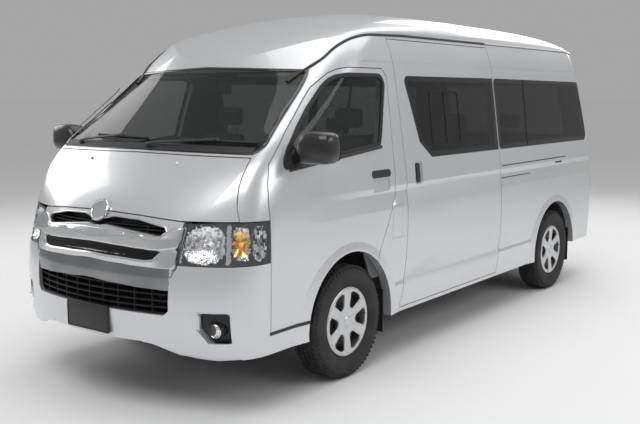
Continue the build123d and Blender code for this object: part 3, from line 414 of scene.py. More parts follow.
def ringMesh(name, rings, shut=False, caps=True):
    # rings of equal length are joined one after the other; shut joins the last to the first
    mould = bmesh.new()
    rows = [[mould.verts.new(place) for place in ring] for ring in rings]
    pairs = list(zip(rows, rows[1:]))
    if shut:
        pairs.append((rows[-1], rows[0]))
    for one, two in pairs:
        for i in range(len(one)):
            j = (i + 1) % len(one)
            mould.faces.new((one[i], one[j], two[j], two[i]))
    if caps and not shut:
        mould.faces.new(rows[0][::-1])
        mould.faces.new(rows[-1])
    return closedMesh(name, mould)

def lathed(name, profile, steps=96):
    # closed profile of (x, radius) turned about the X axis
    rings = []
    for k in range(steps):
        angle = 2 * math.pi * k / steps
        rings.append([(x, r * math.sin(angle), r * math.cos(angle)) for x, r in profile])
    return ringMesh(name, rings, shut=True)

def softBox(name, low, high, radius=0.01, steps=3):
    mould = bmesh.new()
    bmesh.ops.create_cube(mould, size=1)
    size = Vector(high) - Vector(low)
    middle = (Vector(high) + Vector(low)) / 2
    for v in mould.verts:
        v.co = Vector((v.co.x * size.x, v.co.y * size.y, v.co.z * size.z)) + middle
    width = min(radius, min(size) * 0.49)
    bmesh.ops.bevel(mould, geom=mould.edges[:], offset=width, segments=steps, profile=0.5, affect="EDGES")
    return closedMesh(name, mould)

def tube(name, points, radius, steps=12, shut=False):
    rings = []
    total = len(points)
    reference = Vector((0, 0, 1))
    for i, point in enumerate(points):
        before = Vector(points[(i - 1) % total] if shut or i else points[i])
        after = Vector(points[(i + 1) % total] if shut or i < total - 1 else points[i])
        along = (after - before).normalized()
        side = along.cross(reference)
        if side.length < 0.1:
            side = along.cross(Vector((1, 0, 0)))
        side.normalize()
        up = side.cross(along)
        size = radius[i] if isinstance(radius, (list, tuple)) else radius
        rings.append([Vector(point) + side * size * math.cos(2 * math.pi * k / steps)
                      + up * size * math.sin(2 * math.pi * k / steps) for k in range(steps)])
    return ringMesh(name, rings, shut=shut)

def moved(mesh, matrix):
    copy = mesh.copy()
    copy.transform(matrix)
    if matrix.determinant() < 0:
        copy.flip_normals()
    return copy

def roundedLine(points, radius, spacing, shut=True):
    # a polyline's corners rounded and its runs divided evenly; works in any number of dimensions
    points = [Vector(p) for p in points]
    total = len(points)
    out = []
    for i, here in enumerate(points):
        if not shut and i in (0, total - 1):
            out.append(here)
            continue
        before, after = points[i - 1], points[(i + 1) % total]
        reach = min(radius, (before - here).length * 0.45, (after - here).length * 0.45)
        start = here + (before - here).normalized() * reach
        end = here + (after - here).normalized() * reach
        for k in range(6):
            t = k / 5
            out.append(start * (1 - t) ** 2 + here * 2 * t * (1 - t) + end * t * t)
    dense = []
    pairs = list(zip(out, out[1:]))
    if shut:
        pairs.append((out[-1], out[0]))
    for one, two in pairs:
        parts = max(1, int((two - one).length / spacing))
        dense.extend(one + (two - one) * (k / parts) for k in range(parts))
    if not shut:
        dense.append(out[-1])
    return dense

def valueAt(table, t):
    # straight runs between the (place, value) pairs of a table
    for (a, one), (b, two) in zip(table, table[1:]):
        if t <= b:
            return one + (two - one) * (t - a) / (b - a)
    return table[-1][1]

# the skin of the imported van, for what follows its surface
def treeOf(names):
    places, faces = [], []
    for name in names:
        mesh = nodes[name].data
        first = len(places)
        places.extend(v.co.copy() for v in mesh.vertices)
        faces.extend([first + i for i in face.vertices] for face in mesh.polygons)
    return BVHTree.FromPolygons(places, faces)

outerNames = ["roof_panel", "body_side_left", "body_side_right", "front_panel", "windscreen", "side_glass",
              "front_bumper", "rear_bumper", "nose_panel", "front_lamps", "tail_lamps", "sliding_door",
              "door_left", "door_glass_left", "door_right", "door_glass_right", "bonnet", "tailgate",
              "tailgate_glass", "fuel_lid"]
skinTree = treeOf(outerNames)
lookFrom = {"left": ((1, 0, 0), (0, 1, 2)), "right": ((-1, 0, 0), (0, 1, 2)),
            "front": ((0, -1, 0), (1, 0, 2)), "rear": ((0, 1, 0), (1, 0, 2)), "top": ((0, 0, 1), (2, 0, 1))}

def placeSeen(view, a, b, depth):
    # side views take (distance back, height), end views (x, height), top (x, distance back)
    order = lookFrom[view][1]
    place = Vector()
    place[order[0]] = depth
    place[order[1]] = back(a) if view in ("left", "right") else a
    place[order[2]] = back(b) if view == "top" else b
    return place

def skinAt(view, a, b):
    out = Vector(lookFrom[view][0])
    place, normal, _, _ = skinTree.ray_cast(placeSeen(view, a, b, sum(out) * 4.0), -out)
    return place, normal

def skinLine(view, line, lift=0.0, shut=True):
    # places and outward normals on the skin under a flat line, shut gaps and steps smoothed over
    out = Vector(lookFrom[view][0])
    axis = lookFrom[view][1][0]
    sign = sum(out)
    total = len(line)

    def around(values, i, reach):
        numbers = range(i - reach, i + reach + 1)
        return [values[k % total] if shut else values[min(max(k, 0), total - 1)] for k in numbers]

    hits = [skinAt(view, p[0], p[1]) for p in line]
    depth = [place[axis] * sign if place is not None else -9 for place, _ in hits]
    clean = [sorted(around(depth, i, 3))[4] for i in range(total)]
    smooth = [sum(around(clean, i, 1)) / 3 for i in range(total)]
    places = [placeSeen(view, p[0], p[1], level * sign) for p, level in zip(line, smooth)]
    normals = [n if n is not None and n.dot(out) >= 0.2 else out for _, n in hits]
    evened = [sum(around(normals, i, 2), Vector()).normalized() for i in range(total)]
    return [p + n * lift for p, n in zip(places, evened)], evened

def strip(name, places, normals, profile, shut=True):
    # profile of (across, out) swept along places; across grows to the left of the run, seen from outside
    rings = []
    total = len(places)
    for i, (place, normal) in enumerate(zip(places, normals)):
        before = places[(i - 1) % total] if shut or i else places[i]
        after = places[(i + 1) % total] if shut or i < total - 1 else places[i]
        along = (after - before).normalized()
        normal = (normal - along * normal.dot(along)).normalized()
        across = normal.cross(along)
        rings.append([place + across * u + normal * v for u, v in profile])
    return ringMesh(name, rings, shut=shut)

# for each view: spacing along the line, and how deep the bead sits
beadSizes = {"front": (0.012, 0.003), "rear": (0.016, 0.003), "left": (0.014, 0.004), "right": (0.014, 0.004)}

def bead(view, name, outline, width, rise, finish, body="body", shut=True, radius=0.012, spacing=None,
         sink=None):
    # a low rounded strip laid on the skin, as a seal, moulding or joint
    usual, deep = beadSizes[view]
    deep = sink or deep
    half = width / 2
    profile = [(-half, -deep), (-half, rise * 0.5), (-half * 0.7, rise * 0.9), (0, rise),
               (half * 0.7, rise * 0.9), (half, rise * 0.5), (half, -deep)]
    places, normals = skinLine(view, roundedLine(outline, radius, spacing or usual, shut), 0.0, shut)
    return addPiece(name, strip(name, places, normals, profile, shut), finish, body, 40)

# what repeats
def repeatTree(name, ring):
    # instances of one part in a ring about the X axis, or in a row
    tree = bpy.data.node_groups.new(name, "GeometryNodeTree")
    sockets = {}
    tree.interface.new_socket("Geometry", in_out="INPUT", socket_type="NodeSocketGeometry")
    wanted = [("Part", "NodeSocketObject"), ("Count", "NodeSocketInt"), ("Radius", "NodeSocketFloat"),
              ("Step", "NodeSocketVector"), ("Finish", "NodeSocketMaterial")]
    for label, kind in wanted:
        sockets[label] = tree.interface.new_socket(label, in_out="INPUT", socket_type=kind)
    tree.interface.new_socket("Geometry", in_out="OUTPUT", socket_type="NodeSocketGeometry")
    link = tree.links.new
    given = tree.nodes.new("NodeGroupInput")
    line = tree.nodes.new("GeometryNodeMeshLine")
    link(given.outputs["Count"], line.inputs["Count"])
    if ring:
        line.inputs["Offset"].default_value = (0, 0, 0)
    else:
        link(given.outputs["Step"], line.inputs["Offset"])
    part = tree.nodes.new("GeometryNodeObjectInfo")
    link(given.outputs["Part"], part.inputs["Object"])
    lifted = tree.nodes.new("GeometryNodeTransform")
    lift = tree.nodes.new("ShaderNodeCombineXYZ")
    link(given.outputs["Radius"], lift.inputs["Z"])
    link(lift.outputs[0], lifted.inputs["Translation"])
    link(part.outputs["Geometry"], lifted.inputs["Geometry"])
    copies = tree.nodes.new("GeometryNodeInstanceOnPoints")
    link(line.outputs[0], copies.inputs["Points"])
    link(lifted.outputs[0], copies.inputs["Instance"])
    if ring:
        index = tree.nodes.new("GeometryNodeInputIndex")
        share = mathNode(tree, "DIVIDE", index.outputs[0], given.outputs["Count"])
        angles = tree.nodes.new("ShaderNodeCombineXYZ")
        link(mathNode(tree, "MULTIPLY", share, 2 * math.pi), angles.inputs["X"])
        rotation = tree.nodes.new("FunctionNodeEulerToRotation")
        link(angles.outputs[0], rotation.inputs[0])
        link(rotation.outputs[0], copies.inputs["Rotation"])
    real = tree.nodes.new("GeometryNodeRealizeInstances")
    link(copies.outputs[0], real.inputs[0])
    painted = tree.nodes.new("GeometryNodeSetMaterial")
    link(real.outputs[0], painted.inputs["Geometry"])
    link(given.outputs["Finish"], painted.inputs["Material"])
    leaving = tree.nodes.new("NodeGroupOutput")
    link(painted.outputs[0], leaving.inputs[0])
    return tree, sockets

repeatTrees = {"ring": repeatTree("ringOfParts", True), "row": repeatTree("rowOfParts", False)}

def repeated(name, part, count, finish, kind="ring", radius=0.0, step=(0, 0, 0)):
    tree, sockets = repeatTrees[kind]
    source = bpy.data.objects.new(name + "Part", part)
    carrier = bpy.data.objects.new(name + "Carrier", bpy.data.meshes.new(name))
    scene.collection.objects.link(source)
    scene.collection.objects.link(carrier)
    layout = carrier.modifiers.new("repeat", "NODES")
    layout.node_group = tree
    values = {"Part": source, "Count": count, "Radius": radius, "Step": step, "Finish": finish}
    for label, value in values.items():
        layout[sockets[label].identifier] = value
    bpy.context.view_layer.update()
    result = evaluated(carrier)
    bpy.data.objects.remove(carrier)
    bpy.data.objects.remove(source)
    return result

# tyres and wheels, made about the origin with the outer side at +X
tyreSize = {"radius": 0.345, "half": 0.0975, "bead": 0.2, "grooveDepth": 0.0075, "pitches": 66, "rows": 5,
            "groove": 0.006, "treadHalf": 0.074, "gap": 0.0045, "skew": 0.004, "crown": 0.0022,
            "softEdge": 0.0012, "lug": (0.012, 0.013, 0.013), "lugPlace": (0.0865, -0.017), "lugSunk": 0.0015}
coverSize = {"radius": 0.2125, "spokes": 6, "inner": 0.088, "outer": 0.186, "spokeIn": 0.058,
             "spokeOut": 0.074, "thickness": 0.0115, "edge": 0.0016, "bolts": 6, "boltCircle": 0.05,
             "widest": 0.82, "raised": (0.075, 0.195), "raise": 0.0045, "grooved": (0.05, 0.18),
             "groove": 0.0025}
# how far out the cover stands at each radius
coverLevels = [(0.0, 0.0835), (0.024, 0.083), (0.031, 0.0795), (0.036, 0.075), (0.06, 0.074), (0.095, 0.0765),
               (0.15, 0.0815), (0.19, 0.0835), (0.205, 0.081), (0.2125, 0.076)]

def tyreProfile():
    s = tyreSize
    base = s["radius"] - s["grooveDepth"]
    right = [(0.066, s["bead"]), (0.067, 0.212), (0.0715, 0.2165), (0.0735, 0.2165), (0.078, 0.223),
             (0.0875, 0.236), (0.0935, 0.252), (0.0955, 0.258), (0.0962, 0.2585), (0.0968, 0.262),
             (0.0975, 0.275), (0.0972, 0.287), (0.0958, 0.298), (0.0962, 0.2995), (0.0955, 0.3035),
             (0.0925, 0.313), (0.0885, 0.3215), (0.0835, 0.3295), (0.0785, 0.3345), (0.073, base)]
    inside = [(-0.055, 0.2), (-0.06, 0.225), (-0.085, 0.26), (-0.085, 0.3), (-0.06, 0.325), (0.06, 0.325),
              (0.085, 0.3), (0.085, 0.26), (0.06, 0.225), (0.055, 0.2)]
    left = [(-x, r) for x, r in right]
    return left + right[::-1] + inside[::-1]

def treadPitch():
    # one block of every row, each a little skewed and set off from the next
    s = tyreSize
    mould = bmesh.new()
    width = (2 * s["treadHalf"] + s["groove"]) / s["rows"]
    pitch = 2 * math.pi * s["radius"] / s["pitches"]
    for row in range(s["rows"]):
        middle = -s["treadHalf"] + width * (row + 0.5) - s["groove"] / 2
        half = (width - s["groove"]) / 2
        start = ((row % 2) * 0.5 - 0.5) * pitch
        length = pitch - s["gap"]
        skew = s["skew"] * (1 if row % 2 else -1)
        crown = s["crown"] * (abs(middle) / s["treadHalf"]) ** 2
        soft = s["softEdge"]
        corners = []
        for level, shrink in ((-s["grooveDepth"] - 0.002, 0.0), (-soft - crown, 0.0), (-crown, soft)):
            top = []
            for u, v in ((-1, 0), (1, 0), (1, 1), (-1, 1)):
                x = middle + u * (half - shrink)
                y = start + v * length + u * skew + (shrink if v == 0 else -shrink)
                angle = y / s["radius"]
                r = s["radius"] + level
                top.append(mould.verts.new((x, r * math.sin(angle), r * math.cos(angle) - s["radius"])))
            corners.append(top)
        for one, two in zip(corners, corners[1:]):
            for i in range(4):
                mould.faces.new((one[i], one[(i + 1) % 4], two[(i + 1) % 4], two[i]))
        mould.faces.new(corners[-1])
        mould.faces.new(corners[0][::-1])
    return closedMesh("treadPitch", mould)

def shoulderLug():
    mould = bmesh.new()
    bmesh.ops.create_cube(mould, size=1)
    wide, long, high = tyreSize["lug"]
    x, z = tyreSize["lugPlace"]
    for v in mould.verts:
        v.co = Vector((x + (v.co.x - v.co.z / 2) * wide, v.co.y * long, z + v.co.z * high))
    bmesh.ops.bevel(mould, geom=mould.edges[:], offset=tyreSize["softEdge"], segments=1, affect="EDGES")
    return closedMesh("shoulderLug", mould)

def buildTyre():
    carcass = lathed("carcass", tyreProfile(), 132)
    tread = repeated("tread", treadPitch(), tyreSize["pitches"], tyreRubber, radius=tyreSize["radius"])
    lugReach = tyreSize["radius"] - tyreSize["lugSunk"]
    lugOut = repeated("lugs", shoulderLug(), tyreSize["pitches"], tyreRubber, radius=lugReach)
    lugIn = moved(lugOut, Matrix.Scale(-1, 4, (1, 0, 0)))
    return joined("tyreMesh", [carcass, tread, lugOut, lugIn])

def buildCover():
    s = coverSize
    radii = [0.004, 0.014, 0.024, 0.031, 0.036, 0.044, 0.06, 0.075, s["inner"], 0.096, 0.106, 0.12, 0.136,
             0.152, 0.166, 0.178, s["outer"], 0.191, 0.198, 0.205, s["radius"]]
    across, gap = 8, 8
    sector = 2 * math.pi / s["spokes"]
    mould = bmesh.new()
    rows = []
    for r in radii:
        share = min(max((r - s["inner"]) / (s["outer"] - s["inner"]), 0), 1)
        width = s["spokeIn"] + (s["spokeOut"] - s["spokeIn"]) * share
        spoke = min(width / r, sector * s["widest"])
        raised = s["raise"] if s["raised"][0] < r < s["raised"][1] else 0
        grooved = s["groove"] if s["grooved"][0] < r < s["grooved"][1] else 0
        row = []
        for k in range(s["spokes"]):
            middle = k * sector
            for i in range(across + gap):
                if i <= across:
                    t = 2 * i / across - 1
                    angle = middle + spoke / 2 * t
                    drop = raised * max(0, abs(t) - 0.55) / 0.45 + grooved * max(0, 1 - abs(t) * 3)
                else:
                    angle = middle + spoke / 2 + (sector - spoke) * (i - across) / gap
                    drop = raised
                x = valueAt(coverLevels, r) - drop
                row.append(mould.verts.new((x, r * math.sin(angle), r * math.cos(angle))))
        rows.append(row)
    total = len(rows[0])
    perSector = across + gap
    for j in range(len(rows) - 1):
        opening = s["inner"] <= radii[j] and radii[j + 1] <= s["outer"]
        atEnd = radii[j] == s["inner"] or radii[j + 1] == s["outer"]
        for i in range(total):
            column = i % perSector
            corner = atEnd and column in (across, perSector - 1)    # rounds the opening
            if opening and column >= across and not corner:
                continue
            mould.faces.new((rows[j][i], rows[j + 1][i], rows[j + 1][(i + 1) % total],
                             rows[j][(i + 1) % total]))
    centre = mould.verts.new((valueAt(coverLevels, 0), 0, 0))
    for i in range(total):
        mould.faces.new((centre, rows[0][i], rows[0][(i + 1) % total]))
    bmesh.ops.recalc_face_normals(mould, faces=mould.faces)
    mesh = bpy.data.meshes.new("cover")
    mould.to_mesh(mesh)
    mould.free()
    carrier = bpy.data.objects.new("coverCarrier", mesh)
    scene.collection.objects.link(carrier)
    wall = carrier.modifiers.new("wall", "SOLIDIFY")
    wall.thickness, wall.offset = s["thickness"], -1
    soft = carrier.modifiers.new("soft", "BEVEL")
    soft.width, soft.segments, soft.limit_method, soft.angle_limit = s["edge"], 2, "ANGLE", math.radians(50)
    bpy.context.view_layer.update()
    result = evaluated(carrier)
    bpy.data.objects.remove(carrier)
    return result

def buildRim():
    barrel = lathed("barrel", [(-0.075, 0.184), (-0.075, 0.208), (-0.071, 0.2115), (-0.067, 0.2085),
                               (-0.064, 0.2), (-0.05, 0.199), (-0.03, 0.186), (0.02, 0.186), (0.045, 0.198),
                               (0.064, 0.2), (0.067, 0.2085), (0.071, 0.2115), (0.075, 0.208), (0.072, 0.196),
                               (0.05, 0.188), (0.022, 0.178), (-0.03, 0.178), (-0.05, 0.186)], 96)
    disc = lathed("disc", [(0.004, 0.031), (0.04, 0.031), (0.04, 0.055), (0.022, 0.062), (0.03, 0.11),
                           (0.038, 0.14), (0.026, 0.168), (0.026, 0.179), (0.012, 0.179), (0.012, 0.17),
                           (0.028, 0.14), (0.02, 0.11), (0.008, 0.062)], 96)
    return joined("rimMesh", [barrel, disc])

def boltMesh():
    corners = [math.pi / 3 * k for k in range(6)]
    levels = ((0.028, 0.0105), (0.05, 0.0105), (0.0525, 0.0084), (0.053, 0.0002))    # x and radius
    return ringMesh("bolt", [[(x, r * math.sin(a), r * math.cos(a)) for a in corners] for x, r in levels])

tyreMesh = buildTyre()
coverMesh = buildCover()
rimMesh = buildRim()
boltRing = repeated("bolts", boltMesh(), coverSize["bolts"], darkSteel, radius=coverSize["boltCircle"])
drumMesh = lathed("drum", [(-0.062, 0.03), (-0.062, 0.148), (-0.056, 0.156), (-0.006, 0.156), (0.001, 0.149),
                           (0.002, 0.07), (0.003, 0.0315)], 72)
discMesh = lathed("brakeDisc", [(-0.032, 0.0315), (-0.032, 0.148), (-0.008, 0.148), (-0.008, 0.09),
                                (0.001, 0.075), (0.001, 0.0315)], 72)
stemLine = [(0.068, 0.178, 0.02), (0.082, 0.172, 0.0195), (0.092, 0.168, 0.019)]
stemMesh = tube("stem", stemLine, [0.004, 0.0032, 0.0034], 10)
for corner in ("front_left", "front_right", "rear_left", "rear_right"):
    low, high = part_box("tyre_" + corner)
    middle = (low + high) / 2
    place = Matrix.Translation(middle)
    if middle.x < 0:
        place = place @ Matrix.Scale(-1, 4, (1, 0, 0))
    body = "wheel_" + corner
    addPiece("tyreCover_" + corner, moved(tyreMesh, place), tyreRubber, body, 40, ["tyre_" + corner])
    addPiece("steelRim_" + corner, moved(rimMesh, place), darkSteel, body, 40,
             ["rim_" + corner])
    addPiece("wheelCover_" + corner, moved(coverMesh, place), coverSilver, body, 32)
    addPiece("wheelBolts_" + corner, moved(boltRing, place), darkSteel, body, 30)
    brake = discMesh if corner.startswith("front") else drumMesh
    addPiece("brake_" + corner, moved(brake, place), castGrey, body, 40)
    addPiece("valveStem_" + corner, moved(stemMesh, place), rubber, body)

low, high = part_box("spare_wheel")
spareSpot = Matrix.Translation((low + high) / 2) @ Matrix.Rotation(math.radians(90), 4, "Y")
addPiece("spareTyre", moved(tyreMesh, spareSpot), tyreRubber, "body", 40, ["spare_wheel"])
addPiece("spareRim", moved(rimMesh, spareSpot), darkSteel, "body", 40)
print("wheels done")

# helpers for what is set into the skin
def pushed(points, distance):
    # a closed flat outline moved outwards
    area = sum(a[0] * b[1] - b[0] * a[1] for a, b in zip(points, points[1:] + points[:1]))
    turn = 1 if area > 0 else -1
    out = []
    for i, here in enumerate(points):
        before, after = points[i - 1], points[(i + 1) % len(points)]
        one = Vector((here[0] - before[0], here[1] - before[1])).normalized()
        two = Vector((after[0] - here[0], after[1] - here[1])).normalized()
        way = Vector((one.y + two.y, -one.x - two.x)) * turn
        way = way.normalized() * distance / max(0.5, math.sqrt((1 + one.dot(two)) / 2))
        out.append((here[0] + way.x, here[1] + way.y))
    return out

def bothSides(half):
    return half + [(-x, z) for x, z in reversed(half) if abs(x) > 0.0001]

def gridShell(name, places, normals, near, far):
    # closed sheet under a grid of skin points, between two depths given as near(i, j) and far(i, j)
    mould = bmesh.new()
    columns, rows = len(places), len(places[0])
    top = [[mould.verts.new(places[i][j] - normals[i][j] * near(i, j)) for j in range(rows)]
           for i in range(columns)]
    low = [[mould.verts.new(places[i][j] - normals[i][j] * far(i, j)) for j in range(rows)]
           for i in range(columns)]
    for i in range(columns - 1):
        for j in range(rows - 1):
            mould.faces.new((top[i][j], top[i + 1][j], top[i + 1][j + 1], top[i][j + 1]))
            mould.faces.new((low[i][j + 1], low[i + 1][j + 1], low[i + 1][j], low[i][j]))
    for i in range(columns - 1):
        mould.faces.new((top[i + 1][0], top[i][0], low[i][0], low[i + 1][0]))
        mould.faces.new((top[i][-1], top[i + 1][-1], low[i + 1][-1], low[i][-1]))
    for j in range(rows - 1):
        mould.faces.new((top[0][j], top[0][j + 1], low[0][j + 1], low[0][j]))
        mould.faces.new((top[-1][j + 1], top[-1][j], low[-1][j], low[-1][j + 1]))
    return closedMesh(name, mould)

def islands(nodeName):
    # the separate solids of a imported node, each as a merged mesh with its corners
    mould = bmesh.new()
    mould.from_mesh(nodes[nodeName].data)
    bmesh.ops.remove_doubles(mould, verts=mould.verts, dist=0.00002)
    mould.verts.ensure_lookup_table()
    seen, found = set(), []
    for start in mould.verts:
        if start.index in seen:
            continue
        stack, group = [start], []
        seen.add(start.index)
        while stack:
            v = stack.pop()
            group.append(v)
            for edge in v.link_edges:
                other = edge.other_vert(v)
                if other.index not in seen:
                    seen.add(other.index)
                    stack.append(other)
        number = {v.index: i for i, v in enumerate(group)}
        faces = {f for v in group for f in v.link_faces}
        mesh = bpy.data.meshes.new(nodeName + "Part")
        mesh.from_pydata([v.co.copy() for v in group], [],
                         [[number[v.index] for v in f.verts] for f in faces])
        low = Vector([min(v.co[k] for v in group) for k in range(3)])
        high = Vector([max(v.co[k] for v in group) for k in range(3)])
        found.append((mesh, low, high))
    mould.free()
    return found

def facing(place, normal):
    # frame whose X axis looks along normal, for pieces made by lathed
    return Matrix.Translation(place) @ normal.to_track_quat("X", "Z").to_matrix().to_4x4()

# head lamps
# each bowl: place across and up as shares of the lamp, its half sizes, and its depth
lampSize = {"pivot": (0.50, 0.75), "columns": 96, "rows": 32, "wall": 0.003, "bezel": 0.008, "seen": 0.93,
            "main": (0.275, 0.50, 0.222, 0.44, 0.040), "signal": (0.668, 0.51, 0.100, 0.40, 0.034),
            "corner": (0.870, 0.51, 0.082, 0.42, 0.016), "ribs": ((0.505, 0.560), (0.012, 0.045)),
            "amber": (0.665, 0.5, 0.075, 0.3), "uneven": 0.0016, "fluteDepth": 0.002, "sheet": 0.002}
lampTree = treeOf(["front_lamps"])
# the three colours of each reflector are painted shade, painted sheen and painted glints on its facets
crystal = glintFacetFinish("crystalChrome", (0.40, 0.40, 0.41), (0.84, 0.85, 0.86), (1.0, 1.0, 1.0), 64,
                      roughness=(0.12, 0.22), bump=0.7)
fluted = glintFacetFinish("flutedChrome", (0.05, 0.05, 0.055), (0.42, 0.43, 0.45), (0.9, 0.92, 0.94), 70,
                     (1, 1, 0.7))
amberBowl = glintFacetFinish("amberBowl", (0.62, 0.31, 0.06), (0.94, 0.54, 0.12), (1.0, 0.76, 0.34), 60, bump=0.3)
lampShade = grainedFinish("lampShade", (0.010, 0.010, 0.011), (0.020, 0.020, 0.021), 20, (0.4, 0.5), 0.05,
                          900, Specular_IOR_Level=0.3)

def lampHit(side, angle, z):
    px, pd = lampSize["pivot"]
    away = Vector((side * math.sin(angle), -math.cos(angle), 0))
    start = Vector((side * px, back(pd), z)) + away * 1.2
    place, normal, _, _ = lampTree.ray_cast(start, -away, 1.0)
    if place is None or normal.dot(away) < 0.35:
        return None
    return place, normal

def lampGrid(side):
    angles = [math.radians(2 + 0.25 * k) for k in range(260)]
    seen = [a for a in angles if lampHit(side, a, lampSize["seen"])]
    first, last = seen[0], seen[-1]
    places, normals = [], []
    for i in range(lampSize["columns"] + 1):
        angle = first + (last - first) * i / lampSize["columns"]
        heights = [0.80 + 0.001 * k for k in range(260)]
        hit = [z for z in heights if lampHit(side, angle, z)]
        low, high = hit[0] + 0.0005, hit[-1] - 0.0005
        column, ways = [], []
        for j in range(lampSize["rows"] + 1):
            z = low + (high - low) * j / lampSize["rows"]
            hits = (lampHit(side, angle, z + near) for near in (0, 0.001, -0.001))
            place, normal = next(found for found in hits if found)
            column.append(place.copy())
            ways.append(normal.copy())
        places.append(column)
        normals.append(ways)
    return places, normals

def bowlAt(u, v):
    for which in ("main", "signal", "corner"):
        cu, cv, hu, hv, deep = lampSize[which]
        reach = (abs((u - cu) / hu) ** 3 + abs((v - cv) / hv) ** 3) ** (1 / 3)
        if reach < 1:
            return which, lampSize["bezel"] + 0.004 + deep * (1 - reach ** 2)
    return "", lampSize["bezel"]

def buildHeadLamp(side, label):
    places, normals = lampGrid(side)
    columns, rows = len(places) - 1, len(places[0]) - 1

    def depth(i, j):
        u, v = i / columns, j / rows
        if i in (0, columns) or j in (0, rows):
            return 0.0035
        which, deep = bowlAt(u, v)
        if which == "main":
            deep += lampSize["uneven"] * rng.random()
        if which == "corner":
            deep += lampSize["fluteDepth"] * (i % 2)
        return deep

    table = [[depth(i, j) for j in range(rows + 1)] for i in range(columns + 1)]
    lens = gridShell("lens", places, normals, lambda i, j: 0.0, lambda i, j: lampSize["wall"])
    addPiece("headLampLens_" + label, lens, clearLens, "body", 50,
             ["front_lamps"] if side > 0 else [])
    bowl = gridShell("bowl", places, normals, lambda i, j: table[i][j],
                     lambda i, j: table[i][j] + lampSize["sheet"])
    addPiece("headLampBowl_" + label, bowl, None, "body", 20)
    finishes = {"main": crystal, "amber": amberBowl, "shade": lampShade, "rib": chrome, "fluted": fluted}
    number = {name: k for k, name in enumerate(finishes)}
    for finish in finishes.values():
        bowl.materials.append(finish)
    spots = [p for column in places for p in column]
    finder = KDTree(len(spots))
    for k, p in enumerate(spots):
        finder.insert(p, k)
    finder.balance()
    amberU, amberV, halfU, halfV = lampSize["amber"]
    for face in bowl.polygons:
        _, k, _ = finder.find(face.center)
        i, j = divmod(k, rows + 1)
        u, v = i / columns, j / rows
        which = bowlAt(u, v)[0]
        if which in ("main", "corner"):
            face.use_smooth = False
        if which == "signal":
            amber = abs(v - amberV) < halfV and abs(u - amberU) < halfU
            face.material_index = number["amber" if amber else "fluted"]
        elif which == "corner":
            face.material_index = number["fluted"]
        elif not which:
            rib = any(low < u < high for low, high in lampSize["ribs"]) and 0.05 < v < 0.95
            face.material_index = number["rib" if rib else "shade"]
    for which, radius, finish in (("main", 0.016, chrome), ("signal", 0.015, amberLens)):
        cu, cv, _, _, deep = lampSize[which]
        i, j = round(cu * columns), round(cv * rows)
        place = places[i][j] - normals[i][j] * (deep + lampSize["bezel"] - 0.002)
        steps = [(0.0, 0.002), (0.0, radius * 0.7), (0.008, radius * 0.9), (0.018, radius),
                 (0.028, radius * 0.85), (0.034, radius * 0.5), (0.036, 0.0005)]
        bulb = moved(lathed("bulb", steps, 28), facing(place, normals[i][j]))
        addPiece("headLampBulb_%s_%s" % (which, label), bulb, finish, "body", 60)

buildHeadLamp(1, "left")
buildHeadLamp(-1, "right")

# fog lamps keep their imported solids, in black, with a lens and a bright ring
fogSize = {
    "across": 0.776, "height": 0.486, "sunk": 0.004,
    "ring": [(-0.004, 0.029), (0.006, 0.0295), (0.009, 0.0325), (0.006, 0.0365), (-0.004, 0.037)],
    "bowl": [(0.001, 0.0005), (0.002, 0.012), (0.005, 0.028), (0.003, 0.029), (-0.001, 0.012),
             (-0.002, 0.0005)],
    "lens": [(0.012, 0.0005), (0.0115, 0.012), (0.009, 0.024), (0.006, 0.0292), (0.004, 0.0292),
             (0.007, 0.023), (0.0095, 0.012), (0.01, 0.0005)],
}

def buildFogLamp(mesh, side, label):
    addPiece("fogBezel_" + label, mesh, trimBlack, "body", 30)
    start = Vector((side * fogSize["across"], -4, fogSize["height"]))
    place, normal, _, _ = lampTree.ray_cast(start, Vector((0, 1, 0)))
    look = (normal + Vector((0, -1.2, 0))).normalized()
    seat = facing(place + Vector((0, fogSize["sunk"], 0)), look)
    for name, profile, steps, finish, sharp, slot in (
            ("fogRing_", "ring", 48, chrome, 50, None), ("fogBowl_", "bowl", 36, crystal, 12, None),
            ("fogLens_", "lens", 48, clearLens, 50, "lamp_clear")):
        part = lathed(name, fogSize[profile], steps)
        addPiece(name + label, moved(part, seat), finish, "body", sharp)

for mesh, low, high in islands("front_lamps"):
    if high.z < 0.7:
        buildFogLamp(mesh, *sideNames[0 if low.x > 0 else 1])
print("head and fog lamps done")

# nose: grille, badge place, plate
upperSlot = bothSides([(0.0, 0.990), (0.07, 1.0), (0.2, 0.988), (0.455, 0.962), (0.5, 0.975), (0.48, 1.01),
                       (0.3, 1.04), (0.12, 1.046), (0.07, 1.034), (0.0, 1.02)])
satinSilver = grainedFinish("satinSilver", (0.62, 0.63, 0.64), (0.70, 0.71, 0.72), 5, (0.16, 0.24), 0.05, 900,
                            metallic=0.85, Coat_Weight=0.4, Coat_Roughness=0.05)
grilleBlack = grainedFinish("grilleBlack", (0.006, 0.006, 0.006), (0.012, 0.012, 0.012), 12, (0.45, 0.6),
                            0.15, 900, Specular_IOR_Level=0.25)
for k, (mesh, low, high) in enumerate(sorted(islands("nose_panel"), key=lambda part: part[1].z - part[2].z)):
    if high.z > 0.95 and high.z - low.z > 0.2:
        addPiece("noseSkin", mesh, paint, "body", 35, ["nose_panel"])
    else:
        addPiece("grilleBars_%d" % k, mesh, grilleBlack, "body", 35)

def bridged(x, z, zLow, zHigh):
    # the front skin carried across an opening
    one, two = skinAt("front", x, zLow)[0], skinAt("front", x, zHigh)[0]
    share = (z - zLow) / (zHigh - zLow)
    return one.lerp(two, share)

